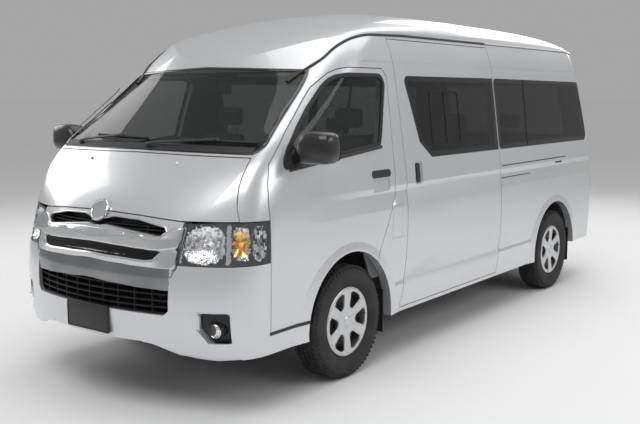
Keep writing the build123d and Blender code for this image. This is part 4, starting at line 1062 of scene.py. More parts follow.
def backing(name, half, zLow, zHigh, depth):
    places, normals = [], []
    for i in range(41):
        x = -half + 2 * half * i / 40
        column = [bridged(x, zLow + (zHigh - zLow) * j / 4, zLow, zHigh) for j in range(5)]
        places.append(column)
        normals.append([Vector((0, -1, 0))] * 5)
    mesh = gridShell(name, places, normals, lambda i, j: depth, lambda i, j: depth + 0.004)
    addPiece(name, mesh, trimBlack, "body", 40)

backing("lowerGrilleBack", 0.60, 0.542, 0.762, 0.056)
backing("upperGrilleBack", 0.53, 0.842, 1.056, 0.056)

bead("front", "upperSlotRim", pushed(upperSlot, 0.003), 0.008, 0.0025, satinSilver)
bandDark = grainedFinish("bandDark", (0.13, 0.135, 0.14), (0.30, 0.305, 0.31), 2.2, (0.2, 0.3), 0.05, 900,
                         metallic=0.9, Coat_Weight=0.5, Coat_Roughness=0.05)
# stations from the middle outwards: x, lower edge, upper edge, the ridge's height as a share, its rise
wingStations = [(0.0, 0.905, 0.983, 0.30, 0.012), (0.10, 0.903, 0.984, 0.42, 0.015),
                (0.20, 0.899, 0.981, 0.60, 0.018), (0.35, 0.893, 0.971, 0.66, 0.019),
                (0.42, 0.889, 0.965, 0.66, 0.018), (0.465, 0.890, 0.968, 0.62, 0.016),
                (0.492, 0.893, 0.992, 0.52, 0.013), (0.52, 0.897, 1.008, 0.46, 0.010),
                (0.565, 0.905, 1.014, 0.42, 0.007), (0.588, 0.930, 1.010, 0.40, 0.004)]
lipStations = [(0.0, 0.818, 0.853, 0.66, 0.013), (0.20, 0.809, 0.847, 0.66, 0.013),
               (0.40, 0.802, 0.840, 0.66, 0.013), (0.445, 0.801, 0.846, 0.62, 0.013),
               (0.48, 0.800, 0.882, 0.55, 0.012), (0.515, 0.800, 0.901, 0.52, 0.010),
               (0.555, 0.801, 0.904, 0.50, 0.008), (0.576, 0.816, 0.890, 0.50, 0.004)]
slotStations = [(0.0, 0.846, 0.912, 0.5, 0.0), (0.20, 0.841, 0.906, 0.5, 0.0), (0.40, 0.834, 0.896, 0.5, 0.0),
                (0.455, 0.840, 0.894, 0.5, 0.0), (0.482, 0.868, 0.893, 0.5, 0.0)]
bandStations = [(0.0, 0.714, 0.822, 0.5, 0.003), (0.20, 0.703, 0.813, 0.5, 0.003),
                (0.40, 0.692, 0.806, 0.5, 0.003), (0.54, 0.688, 0.804, 0.5, 0.002),
                (0.549, 0.692, 0.803, 0.5, 0.001)]
anchorHeights = (0.757, 0.80, 0.84, 0.948, 1.062)

def noseDepth(x):
    # the front skin at one x as (height, place along the van), the openings left out
    found = []
    for z in anchorHeights:
        place = skinAt("front", x, z)[0]
        if place is not None and (not found or -0.01 < place.y - found[-1][1] < 0.09):
            found.append((z, place.y))
    return found

def station(table, x):
    x = min(abs(x), table[-1][0])
    for one, two in zip(table, table[1:]):
        if x <= two[0]:
            share = (x - one[0]) / (two[0] - one[0])
            share = share * share * (3 - 2 * share)
            return [a + (b - a) * share for a, b in zip(one[1:], two[1:])]
    return list(table[-1][1:])

def frontForm(name, table, finish, rows, shape, steps=110, behind=0.006):
    # a form laid over the nose, whose height follows shape(share up, ridge, rise)
    end = table[-1][0]
    places, normals, lifts = [], [], []
    for i in range(steps + 1):
        x = -end + 2 * end * i / steps
        low, high, ridge, rise = station(table, x)
        depths = noseDepth(x)
        column, row = [], []
        for j in range(rows + 1):
            t = j / rows
            z = low + (high - low) * t
            column.append(Vector((x, valueAt([(-1.0, depths[0][1])] + depths, z), z)))
            row.append(shape(t, ridge, rise))
        places.append(column)
        lifts.append(row)
        normals.append([Vector((0, -0.93, 0.37))] * (rows + 1))
    mesh = gridShell(name, places, normals, lambda i, j: -lifts[i][j], lambda i, j: behind)
    return addPiece(name, mesh, finish, "body", 25)

def ridged(t, ridge, rise):
    # a thin edge, a slope up to the ridge and a round fall behind it
    edge = 0.004
    if t < ridge:
        return edge * min(1, t / 0.06) + (rise - edge) * (t / ridge)
    return edge * min(1, (1 - t) / 0.06) + (rise - edge) * (1 - (t - ridge) / (1 - ridge)) ** 0.7

def barred(t, *_):
    # flat ground with two bars
    return 0.0055 if abs(t - 0.36) < 0.07 or abs(t - 0.68) < 0.07 else 0.001

def bowed(t, _, rise):
    return 0.0016 + rise * 4 * t * (1 - t)

frontForm("grilleBand", bandStations, bandDark, 10, bowed, behind=0.012)
frontForm("middleGrille", slotStations, grilleBlack, 28, barred)
frontForm("grilleWing", wingStations, satinSilver, 24, ridged)
frontForm("grilleLip", lipStations, satinSilver, 16, ridged)
for side, label in sideNames:
    seam = [(side * 0.563, 0.795), (side * 0.585, 0.80), (side * 0.592, 0.90), (side * 0.597, 1.012)]
    bead("front", "noseSeam_" + label, seam, 0.005, 0.0012, trimBlack, shut=False, radius=0.02)

badgeSize = {"radius": 0.066, "height": 1.068, "thick": 0.011, "lift": 0.009, "forward": 0.006}

def buildRoundel():
    # a bare disc with a raised edge in the badge's place
    s = badgeSize
    place, normal = skinAt("front", 0.0, s["height"] + 0.01)
    seat = facing(Vector((0, place.y - s["forward"], s["height"])) + normal * s["lift"], normal)
    r, t = s["radius"], s["thick"]
    profile = [(-0.006, 0.0005), (-0.006, r), (t * 0.6, r), (t, r - 0.004), (t, r - 0.009),
               (t * 0.7, r - 0.012), (t * 0.75, r * 0.4), (t * 0.8, 0.0005)]
    addPiece("plainRoundel", moved(lathed("badge", profile, 72), seat), chrome, "bonnet", 40)

buildRoundel()

plateSize = {"half": 0.172, "high": 0.077, "middle": 0.495, "front": 0.006, "thick": 0.02, "rim": 0.006,
             "rimRadius": 0.003, "corner": 0.012}

def plateRim(name, y, middle, seat, body):
    half, high = plateSize["half"] - plateSize["rim"], plateSize["high"] - plateSize["rim"]
    corners = [(-half, y, middle - high), (half, y, middle - high), (half, y, middle + high),
               (-half, y, middle + high)]
    rim = tube(name, roundedLine(corners, plateSize["corner"], 0.02), plateSize["rimRadius"], 8, True)
    addPiece(name, moved(rim, seat), trimBlack, body, 40)

def buildFrontPlate():
    s = plateSize
    y = frontY - s["front"]
    low, high = (-s["half"], y, s["middle"] - s["high"]), (s["half"], y + s["thick"], s["middle"] + s["high"])
    addPiece("blankPlate", softBox("plate", low, high, 0.006), plateDark, "body", 30)
    plateRim("plateRim", y, s["middle"], Matrix.Identity(4), "body")

buildFrontPlate()

# windscreen: seal, cowl, wipers, jets
screenHalf = [(0.0, 1.392), (0.786, 1.385), (0.822, 1.428), (0.770, 1.590), (0.735, 1.780), (0.712, 1.846),
              (0.0, 1.870)]
bead("front", "screenSeal", pushed(bothSides(screenHalf), -0.004), 0.020, 0.0035, glossBlack, radius=0.05)
cowlLine = [(-0.785, 1.404), (-0.4, 1.411), (0, 1.413), (0.4, 1.411), (0.785, 1.404)]
cowlProfile = [(-0.028, -0.003), (-0.028, 0.004), (-0.02, 0.007), (-0.012, 0.0045), (-0.004, 0.007),
               (0.004, 0.0045), (0.012, 0.007), (0.022, 0.0045), (0.03, 0.001), (0.03, -0.003)]
places, normals = skinLine("front", roundedLine(cowlLine, 0.1, 0.02, False), 0.001, False)
addPiece("cowlPanel", strip("cowl", places, normals, cowlProfile, False), trimBlack, "body", 30)

wiperSize = {
    "armProfile": [(-0.009, -0.003), (-0.008, 0.004), (0.008, 0.004), (0.009, -0.003)], "armLift": 0.026,
    "bladeLift": 0.012, "joint": (0.022, 0.008, 0.012), "jointLift": 0.021, "jets": (0.36, 1.33),
}

def wiperArm(view, name, body, line, radius, spacing, lift):
    places, normals = skinLine(view, roundedLine(line, radius, spacing, False), lift, False)
    addPiece(name, strip("arm", places, normals, wiperSize["armProfile"], False), trimBlack, body, 40)

def wiperBlade(view, name, body, start, end, lift, up, down):
    places, normals = skinLine(view, roundedLine([start, end], 0.01, 0.02, False), lift, False)
    profile = [(-0.0035, -down), (-0.006, 0.002), (-0.004, up), (0.004, up), (0.006, 0.002), (0.0035, -down)]
    addPiece(name, strip("blade", places, normals, profile, False), rubber, body, 40)

def capOn(view, name, body, place, profile, finish=trimBlack, steps=28):
    # a turned part standing on the skin
    addPiece(name, moved(lathed("cap", profile, steps), facing(*skinAt(view, *place))), finish, body, 40)

def facingPlate(place, normal):
    # frame whose Y axis looks along normal, for flat parts
    return Matrix.Translation(place) @ normal.to_track_quat("Y", "Z").to_matrix().to_4x4()

def buildWiper(label, pivot, elbow, start, end):
    middle = ((start[0] + end[0]) / 2, (start[1] + end[1]) / 2)
    wiperArm("front", "wiperArm_" + label, "body", [pivot, elbow, middle], 0.05, 0.02, wiperSize["armLift"])
    wiperBlade("front", "wiperBlade_" + label, "body", start, end, wiperSize["bladeLift"], 0.008, 0.010)
    capOn("front", "wiperPivot_" + label, "body", pivot,
          [(-0.004, 0.0005), (-0.004, 0.017), (0.024, 0.015), (0.03, 0.011), (0.031, 0.0005)])
    place, normal = skinAt("front", *middle)
    half = Vector(wiperSize["joint"])
    turn = facingPlate(place + normal * wiperSize["jointLift"], normal)
    addPiece("wiperJoint_" + label, moved(softBox("joint", -half, half, 0.004), turn), trimBlack, "body", 40)

buildWiper("passenger", (0.06, 1.408), (0.12, 1.418), (0.27, 1.446), (0.775, 1.434))
buildWiper("driver", (-0.60, 1.406), (-0.55, 1.418), (-0.47, 1.452), (0.02, 1.446))
for side, label in sideNames:
    x, z = wiperSize["jets"]
    capOn("front", "washerJet_" + label, "bonnet", (side * x, z),
          [(-0.003, 0.0005), (-0.003, 0.010), (0.005, 0.009), (0.008, 0.005), (0.0085, 0.0005)], paint, 20)
print("nose and windscreen done")

# front bumper: lower corners drawn up, valance and fog lamp dishes
bumperSize = {"turnUp": 0.40, "share": 0.76, "pivot": (0.60, 0.45), "proud": 0.0008, "skinTop": 0.60,
              "probe": 0.66, "lip": 0.016, "sound": 0.404, "top": 0.410, "tucked": 0.418, "frontFrom": 0.38,
              "frontStep": 0.02, "wall": 0.004, "cornerEase": 0.66, "runOut": (0.10, 1.6)}
# height of the lower edge from the middle to the side
edgeHeights = [(0.0, 0.396), (0.08, 0.390), (0.20, 0.362), (0.28, 0.343), (0.42, 0.330), (0.58, 0.322),
               (0.75, 0.326), (1.0, 0.330)]
dishOuter = [(0.688, 0.584), (0.853, 0.584), (0.853, 0.402), (0.764, 0.402), (0.708, 0.434), (0.688, 0.490)]
dishInner = [(0.712, 0.575), (0.847, 0.575), (0.847, 0.412), (0.772, 0.416), (0.730, 0.446), (0.712, 0.492)]
# round the dish's wall: share from the outer line to the inner, widened by, height over the bumper's face
dishLevels = [(0.0, 0.007, -0.0016), (0.0, 0.004, 0.0012), (0.0, 0.0, 0.0008), (0.15, 0.0, -0.0016),
              (0.45, 0.0, -0.008), (0.8, 0.0, -0.019), (1.0, 0.0, -0.0285), (1.0, 0.003, -0.0290),
              (0.5, 0.002, -0.014), (0.0, 0.006, -0.006)]
bumperTree = treeOf(["front_bumper"])

bumperSkin = joined("bumperSkin", [nodes["front_bumper"].data])
for v in bumperSkin.vertices:
    if v.co.z < bumperSize["turnUp"]:
        v.co.z = bumperSize["turnUp"] - (bumperSize["turnUp"] - v.co.z) * bumperSize["share"]
addPiece("bumperSkin", bumperSkin, paint, "body", 35, ["front_bumper"])

def tuckAt(z):
    # how far the bumper's face draws in below its upper edge
    def probe(height):
        return bumperTree.ray_cast(Vector((bumperSize["probe"], -6, height)), Vector((0, 1, 0)))[0].y

    top = probe(bumperSize["skinTop"])
    below = bumperSize["sound"] - z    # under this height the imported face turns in, so the run is carried on
    if below <= 0:
        return probe(min(z, bumperSize["skinTop"])) - top
    slope, curve = bumperSize["runOut"]
    return probe(bumperSize["sound"]) - top + below * slope + below ** 2 * curve

def bumperPlace(way, start, z, share):
    place, normal, _, _ = bumperTree.ray_cast(start, -way)
    flat = Vector((normal.x, normal.y, 0)).normalized()
    here = place - flat * ((tuckAt(z) - tuckAt(start.z)) * share)
    return Vector((here.x, here.y, z)), flat

def valanceStations(side):
    # across the front from the plate, then round the corner: way out, start of the ray, share of the tuck
    s = bumperSize
    px, pd = s["pivot"]
    stations = []
    for k in range(12):
        start = Vector((side * (s["frontFrom"] + s["frontStep"] * k), frontY - 2, s["top"] + 0.001))
        stations.append((Vector((0, -1, 0)), start, 1.0))
    for k in range(2, 29):
        angle = math.radians(3 * k)
        way = Vector((side * math.sin(angle), -math.cos(angle), 0))
        share = 1.0 - s["cornerEase"] * max(0.0, min(1.0, (k - 16) / 12))
        stations.append((way, Vector((side * px, back(pd), s["skinTop"])) + way * 2, share))
    return stations

def valance(side, label):
    s = bumperSize
    stations = valanceStations(side)
    places, normals = [], []
    for i, (way, start, share) in enumerate(stations):
        zLow = valueAt(edgeHeights, i / (len(stations) - 1))
        heights = [zLow + (s["top"] - zLow) * t for t in (0.0, 0.12, 0.3, 0.55, 0.8, 0.97)] + [s["tucked"]]
        lifts = [s["proud"] - 0.004] + [s["proud"]] * 5 + [-0.0012]
        hits = [bumperPlace(way, start, z, share) for z in heights]
        places.append([here + flat * lift for (here, flat), lift in zip(hits, lifts)])
        normals.append([flat for _, flat in hits])
    mesh = gridShell("valance", places, normals, lambda i, j: 0.0,
                     lambda i, j: s["lip"] if j < 2 else s["wall"])
    addPiece("bumperValance_" + label, mesh, paint, "body", 40)

def evenly(line, count):
    # a closed line cut into equal lengths
    line = [Vector(p) for p in line] + [Vector(line[0])]
    lengths = [0.0]
    for a, b in zip(line, line[1:]):
        lengths.append(lengths[-1] + (b - a).length)
    out, k = [], 0
    for i in range(count):
        want = lengths[-1] * i / count
        while lengths[k + 1] < want:
            k += 1
        share = (want - lengths[k]) / max(lengths[k + 1] - lengths[k], 0.00001)
        out.append(line[k].lerp(line[k + 1], share))
    return out

def dishRing(side, outline, lift):
    out = []
    for x, z in outline:
        top = bumperTree.ray_cast(Vector((side * x, -6, bumperSize["skinTop"])), Vector((0, 1, 0)))
        flat = Vector((top[1].x, top[1].y, 0)).normalized()
        here = Vector((side * x, top[0].y + tuckAt(z) / max(0.5, -flat.y), z))
        out.append(here + flat * lift)
    return out

def fogDish(side, label):
    one = evenly(roundedLine(dishOuter, 0.026, 0.004), 160)
    two = evenly(roundedLine(dishInner, 0.018, 0.004), 160)
    rings = []
    for share, push, lift in dishLevels:
        flat = [(a.lerp(b, share).x, a.lerp(b, share).y) for a, b in zip(one, two)]
        if push:
            flat = pushed(flat, push)
        rings.append(dishRing(side, flat, lift))
    addPiece("fogDish_" + label, ringMesh("dish", rings, shut=True), paint, "body", 50)

for side, label in sideNames:
    valance(side, label)
    fogDish(side, label)
print("bumper done")

# doors, side glass and gutters
doorWindow = [(0.625, 1.314), (1.560, 1.398), (1.662, 1.784), (1.625, 1.818), (1.285, 1.818), (1.190, 1.807),
              (1.134, 1.788), (1.070, 1.749), (0.903, 1.620), (0.790, 1.522), (0.672, 1.407), (0.630, 1.350)]
sideSizes = {"rubber": 0.026, "rubberRise": 0.004, "belt": 0.020, "beltRise": 0.007, "railWidth": 0.016,
             "railRise": 0.007, "handle": (1.440, 1.654, 1.186, 1.244), "handleSkin": 0.0016,
             "handleEdge": 0.009, "lock": (1.49, 1.165), "mirrorGlass": (0.985, 1.142, 1.352, 1.490),
             "mirrorFace": 0.800}

def handleCover(side, label):
    d0, d1, z0, z1 = sideSizes["handle"]
    rim = sideSizes["handleEdge"]
    places, normals = [], []
    for i in range(25):
        share = i / 24
        d = d0 + (d1 - d0) * share
        rounded = min(1, 0.35 + math.sqrt(max(0, 1 - abs(2 * share - 1) ** 5)))
        column = []
        for j in range(9):
            up = 2 * j / 8 - 1
            z = (z0 + z1) / 2 + (z1 - z0) / 2 * rounded * up
            place = skinAt(label, min(max(d, d0 + rim), d1 - rim), min(max(z, z0 + rim), z1 - rim))[0]
            edge = max(0, abs(up) - 0.6) / 0.4
            column.append(Vector((place.x - side * 0.004 * edge ** 2, back(d), z)))
        places.append(column)
        normals.append([Vector((side, 0, 0))] * 9)
    cover = gridShell("cover", places, normals, lambda i, j: -sideSizes["handleSkin"], lambda i, j: 0.03)
    addPiece("doorHandle_" + label, cover, trimBlack, "front_door_" + label, 35)
    capOn(label, "doorLock_" + label, "front_door_" + label, sideSizes["lock"],
          [(-0.003, 0.0005), (-0.003, 0.009), (0.0015, 0.009), (0.002, 0.007), (0.0005, 0.0065),
           (0.0005, 0.0005)], satinSilver, 24)

def buildDoor(side, label):
    body = "front_door_" + label
    bead(label, "windowRubber_" + label, pushed(doorWindow, 0.001), sideSizes["rubber"],
         sideSizes["rubberRise"], rubber, body, radius=0.022, sink=0.010)
    belt = [(0.655, 1.2985), (1.575, 1.381)]
    bead(label, "beltMoulding_" + label, belt, sideSizes["belt"], sideSizes["beltRise"], trimBlack,
         body, False)
    handleCover(side, label)
    x0, x1, z0, z1 = sideSizes["mirrorGlass"]
    rear = back(sideSizes["mirrorFace"])
    low, high = sorted((side * x0, side * x1))
    outline = roundedLine([(low, z0), (high, z0), (high, z1), (low, z1)], 0.028, 0.006)
    rings = []
    for depth, inset in ((-0.004, 0.0), (0.0015, 0.0), (0.0028, 0.002)):
        inner = pushed(outline, -inset) if inset else outline
        rings.append([Vector((p[0], rear + depth, p[1])) for p in inner])
    addPiece("mirrorGlass_" + label, ringMesh("glass", rings), mirrorGlass, body, 40)
    line = [(p[0], rear + 0.0015, p[1]) for p in pushed(outline, 0.003)]
    addPiece("mirrorRim_" + label, tube("rim", line, 0.0032, 8, True), trimBlack, body, 50)

for side, label in sideNames:
    buildDoor(side, label)

for mesh, low, high in islands("sliding_door"):
    if high.z - low.z > 0.8:
        addPiece("slidingDoorSkin", mesh, paint, "body", 35, ["sliding_door"])
    else:
        addPiece("slidingDoorGrip", mesh, trimBlack, "body", 35)

# drip channel along the roof joint, black to the middle and body colour behind it
gutterFront = [(1.010, 1.800), (1.110, 1.866), (1.210, 1.926), (1.300, 1.985), (1.400, 2.030), (1.500, 2.058),
               (1.600, 2.072), (2.000, 2.084), (3.200, 2.084)]
gutterRear = [(3.203, 2.084), (4.800, 2.084), (4.960, 2.074)]
for side, label in sideNames:
    for name, line, finish, radius in (("gutterFront_", gutterFront, frameBlack, 0.08),
                                       ("gutterRear_", gutterRear, paint, 0.06)):
        bead(label, name + label, line, sideSizes["railWidth"], sideSizes["railRise"], finish, shut=False,
             radius=radius, spacing=0.03)
    step = [(0.462, 0.436), (0.79, 0.436)]
    bead(label, "doorSillStrip_" + label, step, 0.018, 0.005, trimBlack, "front_door_" + label, False)

ventFrame = [(2.22, 1.36), (2.62, 1.36), (2.62, 1.72), (2.22, 1.72)]
bead("left", "ventFrame_left", ventFrame, 0.012, 0.0022, grilleBlack, radius=0.04, spacing=0.01)
bead("left", "ventRail_left", [(2.42, 1.362), (2.42, 1.718)], 0.010, 0.0018, grilleBlack, shut=False)
for view, name, d in (("left", "paneJoint_left", 3.76), ("right", "paneJoint_right_321", 3.21),
                      ("right", "paneJoint_right_376", 3.76)):
    bead(view, name, [(d, 1.285), (d, 1.818)], 0.008, 0.0016, grilleBlack, shut=False)
# the sliding door's rail lies behind a cover with a long joint above, a short one below and a slot at its end;
# the slot is a black strip, painted shade of the opening
for name, line, width in (("railJointUpper", [(3.25, 1.154), (4.535, 1.156)], 0.006),
                          ("railJointLower", [(3.25, 1.061), (3.785, 1.062)], 0.006),
                          ("railSlot", [(4.315, 1.117), (4.455, 1.118)], 0.014)):
    bead("left", name, line, width, 0.0008, grilleBlack, shut=False, spacing=0.02)
print("sides done")

# door mirrors
# stations outwards: x, distance back, height, half depth, half height
mirrorStations = [(0.893, 0.705, 1.348, 0.032, 0.024), (0.912, 0.712, 1.356, 0.038, 0.030),
                  (0.932, 0.720, 1.374, 0.048, 0.044), (0.950, 0.725, 1.398, 0.060, 0.066),
                  (0.968, 0.727, 1.412, 0.070, 0.081), (1.000, 0.728, 1.419, 0.076, 0.088),
                  (1.050, 0.728, 1.421, 0.078, 0.089), (1.105, 0.728, 1.421, 0.077, 0.088),
                  (1.136, 0.728, 1.420, 0.070, 0.083), (1.152, 0.728, 1.419, 0.058, 0.073),
                  (1.160, 0.728, 1.418, 0.042, 0.056), (1.163, 0.728, 1.418, 0.020, 0.030)]
mirrorSize = {"power": 2.9, "steps": 56}
sailOutline = [(0.626, 1.322), (0.800, 1.338), (0.806, 1.362), (0.704, 1.410), (0.656, 1.372)]

def mirrorRing(side, station):
    x, d, z, deep, high = station
    points = []
    power = 2 / mirrorSize["power"]
    for k in range(mirrorSize["steps"]):
        angle = 2 * math.pi * k / mirrorSize["steps"]
        u, v = (math.copysign(abs(w) ** power, w) for w in (math.cos(angle), math.sin(angle)))
        points.append(Vector((side * x, min(back(d) + u * deep, back(sideSizes["mirrorFace"])),
                              z + v * high)))
    return points

for side, label in sideNames:
    body = "front_door_" + label
    shell = ringMesh("mirrorShell", [mirrorRing(side, station) for station in mirrorStations])
    addPiece("mirrorShell_" + label, shell, glossTrim, body, 60, ["door_mirror_" + label])
    rim = roundedLine(sailOutline, 0.010, 0.006)
    places, normals = skinLine(label, rim)
    rings = []
    for lift, inset in ((-0.008, 0.0), (0.005, 0.0), (0.0085, 0.004)):
        flat = pushed([(p[0], p[1]) for p in rim], -inset) if inset else rim
        rings.append([Vector((place.x + side * lift, back(p[0]), p[1])) for place, p in zip(places, flat)])
    addPiece("mirrorSail_" + label, ringMesh("sail", rings), trimBlack, body, 40)

# door trim inside the front doors
cardSize = {"outline": [(0.700, 0.900), (0.860, 0.985), (1.180, 0.985), (1.380, 0.800), (1.480, 0.560),
                        (1.610, 0.560), (1.620, 1.335), (0.760, 1.265)],
            "proud": 0.010, "sunk": 0.004, "softEdge": 0.006, "inPanel": (0.70, 0.95), "usual": 0.85,
            "arm": (1.02, 1.50, 0.985, 1.035, 0.052), "pull": (1.16, 1.30, 1.095, 1.135, 0.024),
            "speaker": (0.93, 1.06), "speakerOut": 0.012}
speakerProfile = [(-0.004, 0.0005), (-0.004, 0.062), (0.004, 0.062), (0.006, 0.055), (0.004, 0.050),
                  (0.003, 0.0005)]

def cardPlaces(side, label, points):
    # how far out the panel stands at each point; over an opening the last place holds
    tree = treeOf(["door_" + label])
    nearest, farthest = cardSize["inPanel"]
    last, out = cardSize["usual"], []
    for d, z in points:
        place = tree.ray_cast(Vector((0, back(d), z)), Vector((side, 0, 0)))[0]
        if place is not None and nearest < abs(place.x) < farthest:
            last = abs(place.x)
        out.append(side * last)
    return out

def cardBlock(name, inner, side, sizes, radius, steps, finish, body):
    d0, d1, z0, z1, deep = sizes
    low, high = sorted((inner - side * deep, inner))
    block = softBox(name, (low, back(d0), z0), (high, back(d1), z1), radius, steps)
    addPiece(name, block, finish, body, 40)

def doorCard(side, label):
    body = "front_door_" + label
    outline = [(p[0], p[1]) for p in roundedLine(cardSize["outline"], 0.04, 0.02)]
    arm, pull = cardSize["arm"], cardSize["pull"]
    middles = [((arm[0] + arm[1]) / 2, arm[2]), ((pull[0] + pull[1]) / 2, (pull[2] + pull[3]) / 2)]
    *base, armIn, pullIn = cardPlaces(side, label, outline + middles)
    proud, sunk = cardSize["proud"], cardSize["sunk"]
    rings = []
    for lift, inset in ((-sunk, 0.0), (proud - sunk, 0.0), (proud, cardSize["softEdge"])):
        flat = pushed(outline, -inset) if inset else outline
        rings.append([Vector((x - side * lift, back(d), z)) for x, (d, z) in zip(base, flat)])
    addPiece("doorCard_" + label, ringMesh("card", rings), trimGrey, body, 40)
    cardBlock("armRest_" + label, armIn, side, arm, 0.016, 4, trimGrey, body)
    cardBlock("doorPull_" + label, pullIn, side, pull, 0.010, 3, trimBlack, body)
    d, z = cardSize["speaker"]
    seat = facing(Vector((pullIn - side * cardSize["speakerOut"], back(d), z)), Vector((-side, 0, 0)))
    addPiece("doorSpeaker_" + label, moved(lathed("speaker", speakerProfile, 48), seat), trimBlack, body, 40)

for side, label in sideNames:
    doorCard(side, label)
print("door trim done")

# rear end
# its three colours are painted shade, painted sheen and painted glints on the facets
tailClear = glintFacetFinish("tailClearChrome", (0.50, 0.50, 0.51), (0.70, 0.71, 0.72), (0.88, 0.88, 0.89), 80,
                        roughness=(0.28, 0.38), bump=0.15)
tailLamp = {"pivot": (0.62, 5.06), "lensProud": 0.0016, "flutes": 0.0008, "lensDeep": 0.006, "edge": 0.004,
            "columns": 32, "rows": 8,
            "bands": (("stop", 1.074, 1.208, redLens), ("turn", 0.964, 1.048, amberLens),
                      ("reverse", 0.826, 0.938, tailClear))}
tailTree = treeOf(["tail_lamps"])

def tailHit(side, angle, z):
    px, pd = tailLamp["pivot"]
    away = Vector((side * math.sin(angle), math.cos(angle), 0))
    place, normal, _, _ = tailTree.ray_cast(Vector((side * px, back(pd), z)) + away * 0.9, -away, 0.85)
    if place is None or normal.dot(away) < 0.3:
        return None
    return place, normal

def tailBand(name, side, low, high, near, far, finish, sharp=40):
    middle = (low + high) / 2
    seen = [math.radians(0.5 * k) for k in range(200) if tailHit(side, math.radians(0.5 * k), middle)]
    first, last = seen[0] + 0.03, seen[-1] - 0.03
    places, normals = [], []
    columns, rows = tailLamp["columns"], tailLamp["rows"]
    for i in range(columns + 1):
        angle = first + (last - first) * i / columns
        heights = [low + (high - low) * j / rows for j in range(rows + 1)]
        hits = [tailHit(side, angle, z) or tailHit(side, angle, middle) for z in heights]
        places.append([place.copy() for place, _ in hits])
        normals.append([normal.copy() for _, normal in hits])
    shell = gridShell(name, places, normals, near, far)
    return addPiece(name, shell, finish, "body", sharp)

def domed(rim, inside, flutes=0.0):
    # depth under the skin: rim at the edges, inside elsewhere, with every second row raised by flutes
    def depth(i, j):
        atRim = i in (0, tailLamp["columns"]) or j in (0, tailLamp["rows"])
        return rim if atRim else inside - flutes * (j % 2)
    return depth

def buildTailLamp(side, label):
    lens = domed(0.001, -tailLamp["lensProud"], tailLamp["flutes"])
    for name, low, high, finish in tailLamp["bands"]:
        tailBand("tailLamp_%s_%s" % (name, label), side, low, high, lens, lambda i, j: tailLamp["lensDeep"],
                 finish, 25)
    edge = tailLamp["edge"]
    _, low, high, _ = tailLamp["bands"][-1]
    tailBand("tailLampCover_" + label, side, low - edge, high + edge, domed(0.001, -0.005),
             domed(0.002, -0.0032), clearLens, 40)

for side, label in sideNames:
    buildTailLamp(side, label)

gateWindow = bothSides([(0.0, 1.300), (0.640, 1.300), (0.600, 1.850), (0.0, 1.870)])
bead("rear", "gateGlassSeal", gateWindow, 0.022, 0.0035, rubber, "tailgate", radius=0.05, sink=0.006)
bead("rear", "stopLampBase", [(-0.17, 1.945), (0.17, 1.945)], 0.046, 0.010, trimBlack, "tailgate", False)
bead("rear", "stopLampLens", [(-0.15, 1.945), (0.15, 1.945)], 0.030, 0.016, redLens, "tailgate", False)
bead("rear", "gateGarnish", [(-0.43, 1.035), (-0.2, 1.04), (0.2, 1.04), (0.43, 1.035)], 0.058, 0.020,
     satinSilver, "tailgate", False, radius=0.1)
bead("rear", "gateHandle", [(-0.16, 0.995), (0.16, 0.995)], 0.030, 0.013, trimBlack, "tailgate", False)
bead("rear", "gateBadgePlace", [(-0.06, 1.18), (0.06, 1.18), (0.06, 1.20), (-0.06, 1.20)], 0.012, 0.002,
     satinSilver, "tailgate", radius=0.01)
for side, label in sideNames:
    bead("rear", "rearReflector_" + label, [(side * 0.66, 0.505), (side * 0.77, 0.505)], 0.034, 0.006,
         redLens, "body", False)
bead("rear", "bumperPad", [(-0.62, 0.598), (-0.3, 0.602), (0.3, 0.602), (0.62, 0.598)], 0.026, 0.008,
     trimBlack, "body", False, radius=0.1)

gatePlate = {"height": 0.86, "proud": 0.004, "behind": 0.004, "face": 0.0035}

def buildRearPlate():
    place, normal = skinAt("rear", 0.0, gatePlate["height"])
    seat = facingPlate(place + normal * gatePlate["proud"], normal)
    half, high, face = plateSize["half"], plateSize["high"], gatePlate["face"]
    plate = softBox("rearPlate", (-half, -gatePlate["behind"], -high), (half, face, high), 0.003, 2)
    addPiece("rearPlateBlank", moved(plate, seat), plateDark, "tailgate", 30)
    plateRim("rearPlateRim", face, 0.0, seat, "tailgate")

buildRearPlate()

pivot = (0.0, 1.262)
wiperArm("rear", "rearWiperArm", "tailgate", [pivot, (-0.02, 1.30), (-0.19, 1.330)], 0.03, 0.015, 0.03)
wiperBlade("rear", "rearWiperBlade", "tailgate", (-0.02, 1.335), (-0.36, 1.335), 0.016, 0.010, 0.012)
capOn("rear", "rearWiperPivot", "tailgate", pivot,
      [(-0.004, 0.0005), (-0.004, 0.022), (0.02, 0.02), (0.034, 0.014), (0.036, 0.0005)])

# black caps where the gutters start, and the aerial beside the screen
for side, label in sideNames:
    bead(label, "gutterCap_" + label, [(0.978, 1.776), (1.050, 1.826)], 0.026, 0.011, trimBlack,
         "body", False)
aerialLine = [(-0.838, 1.455), (-0.800, 1.600), (-0.768, 1.740)]
places, _ = skinLine("front", roundedLine(aerialLine, 0.2, 0.02, False), 0.012, False)
addPiece("aerialRod", tube("aerial", places, 0.003, 10), darkSteel, "body", 50)
capOn("front", "aerialBase", "body", aerialLine[0],
      [(-0.004, 0.0005), (-0.004, 0.013), (0.004, 0.012), (0.016, 0.007), (0.0165, 0.0005)], steps=24)
print("rear done")

# seats
seatSizes = {"voxel": 0.014, "pressure": 4.0, "frames": 20, "most": 0.022, "lean": 14, "floor": 0.530,
             "frontBase": 0.7896, "front": 1.130, "frontAcross": 0.525, "frontWidth": 0.480,
             "rows": (2.150, 3.050, 4.120), "rowAcross": 0.2975, "rowWidth": 0.555, "rowRaised": 0.210,
             "stem": 0.06, "stemReach": (0.05, 0.15), "restTall": 0.262, "shoulder": 0.12}

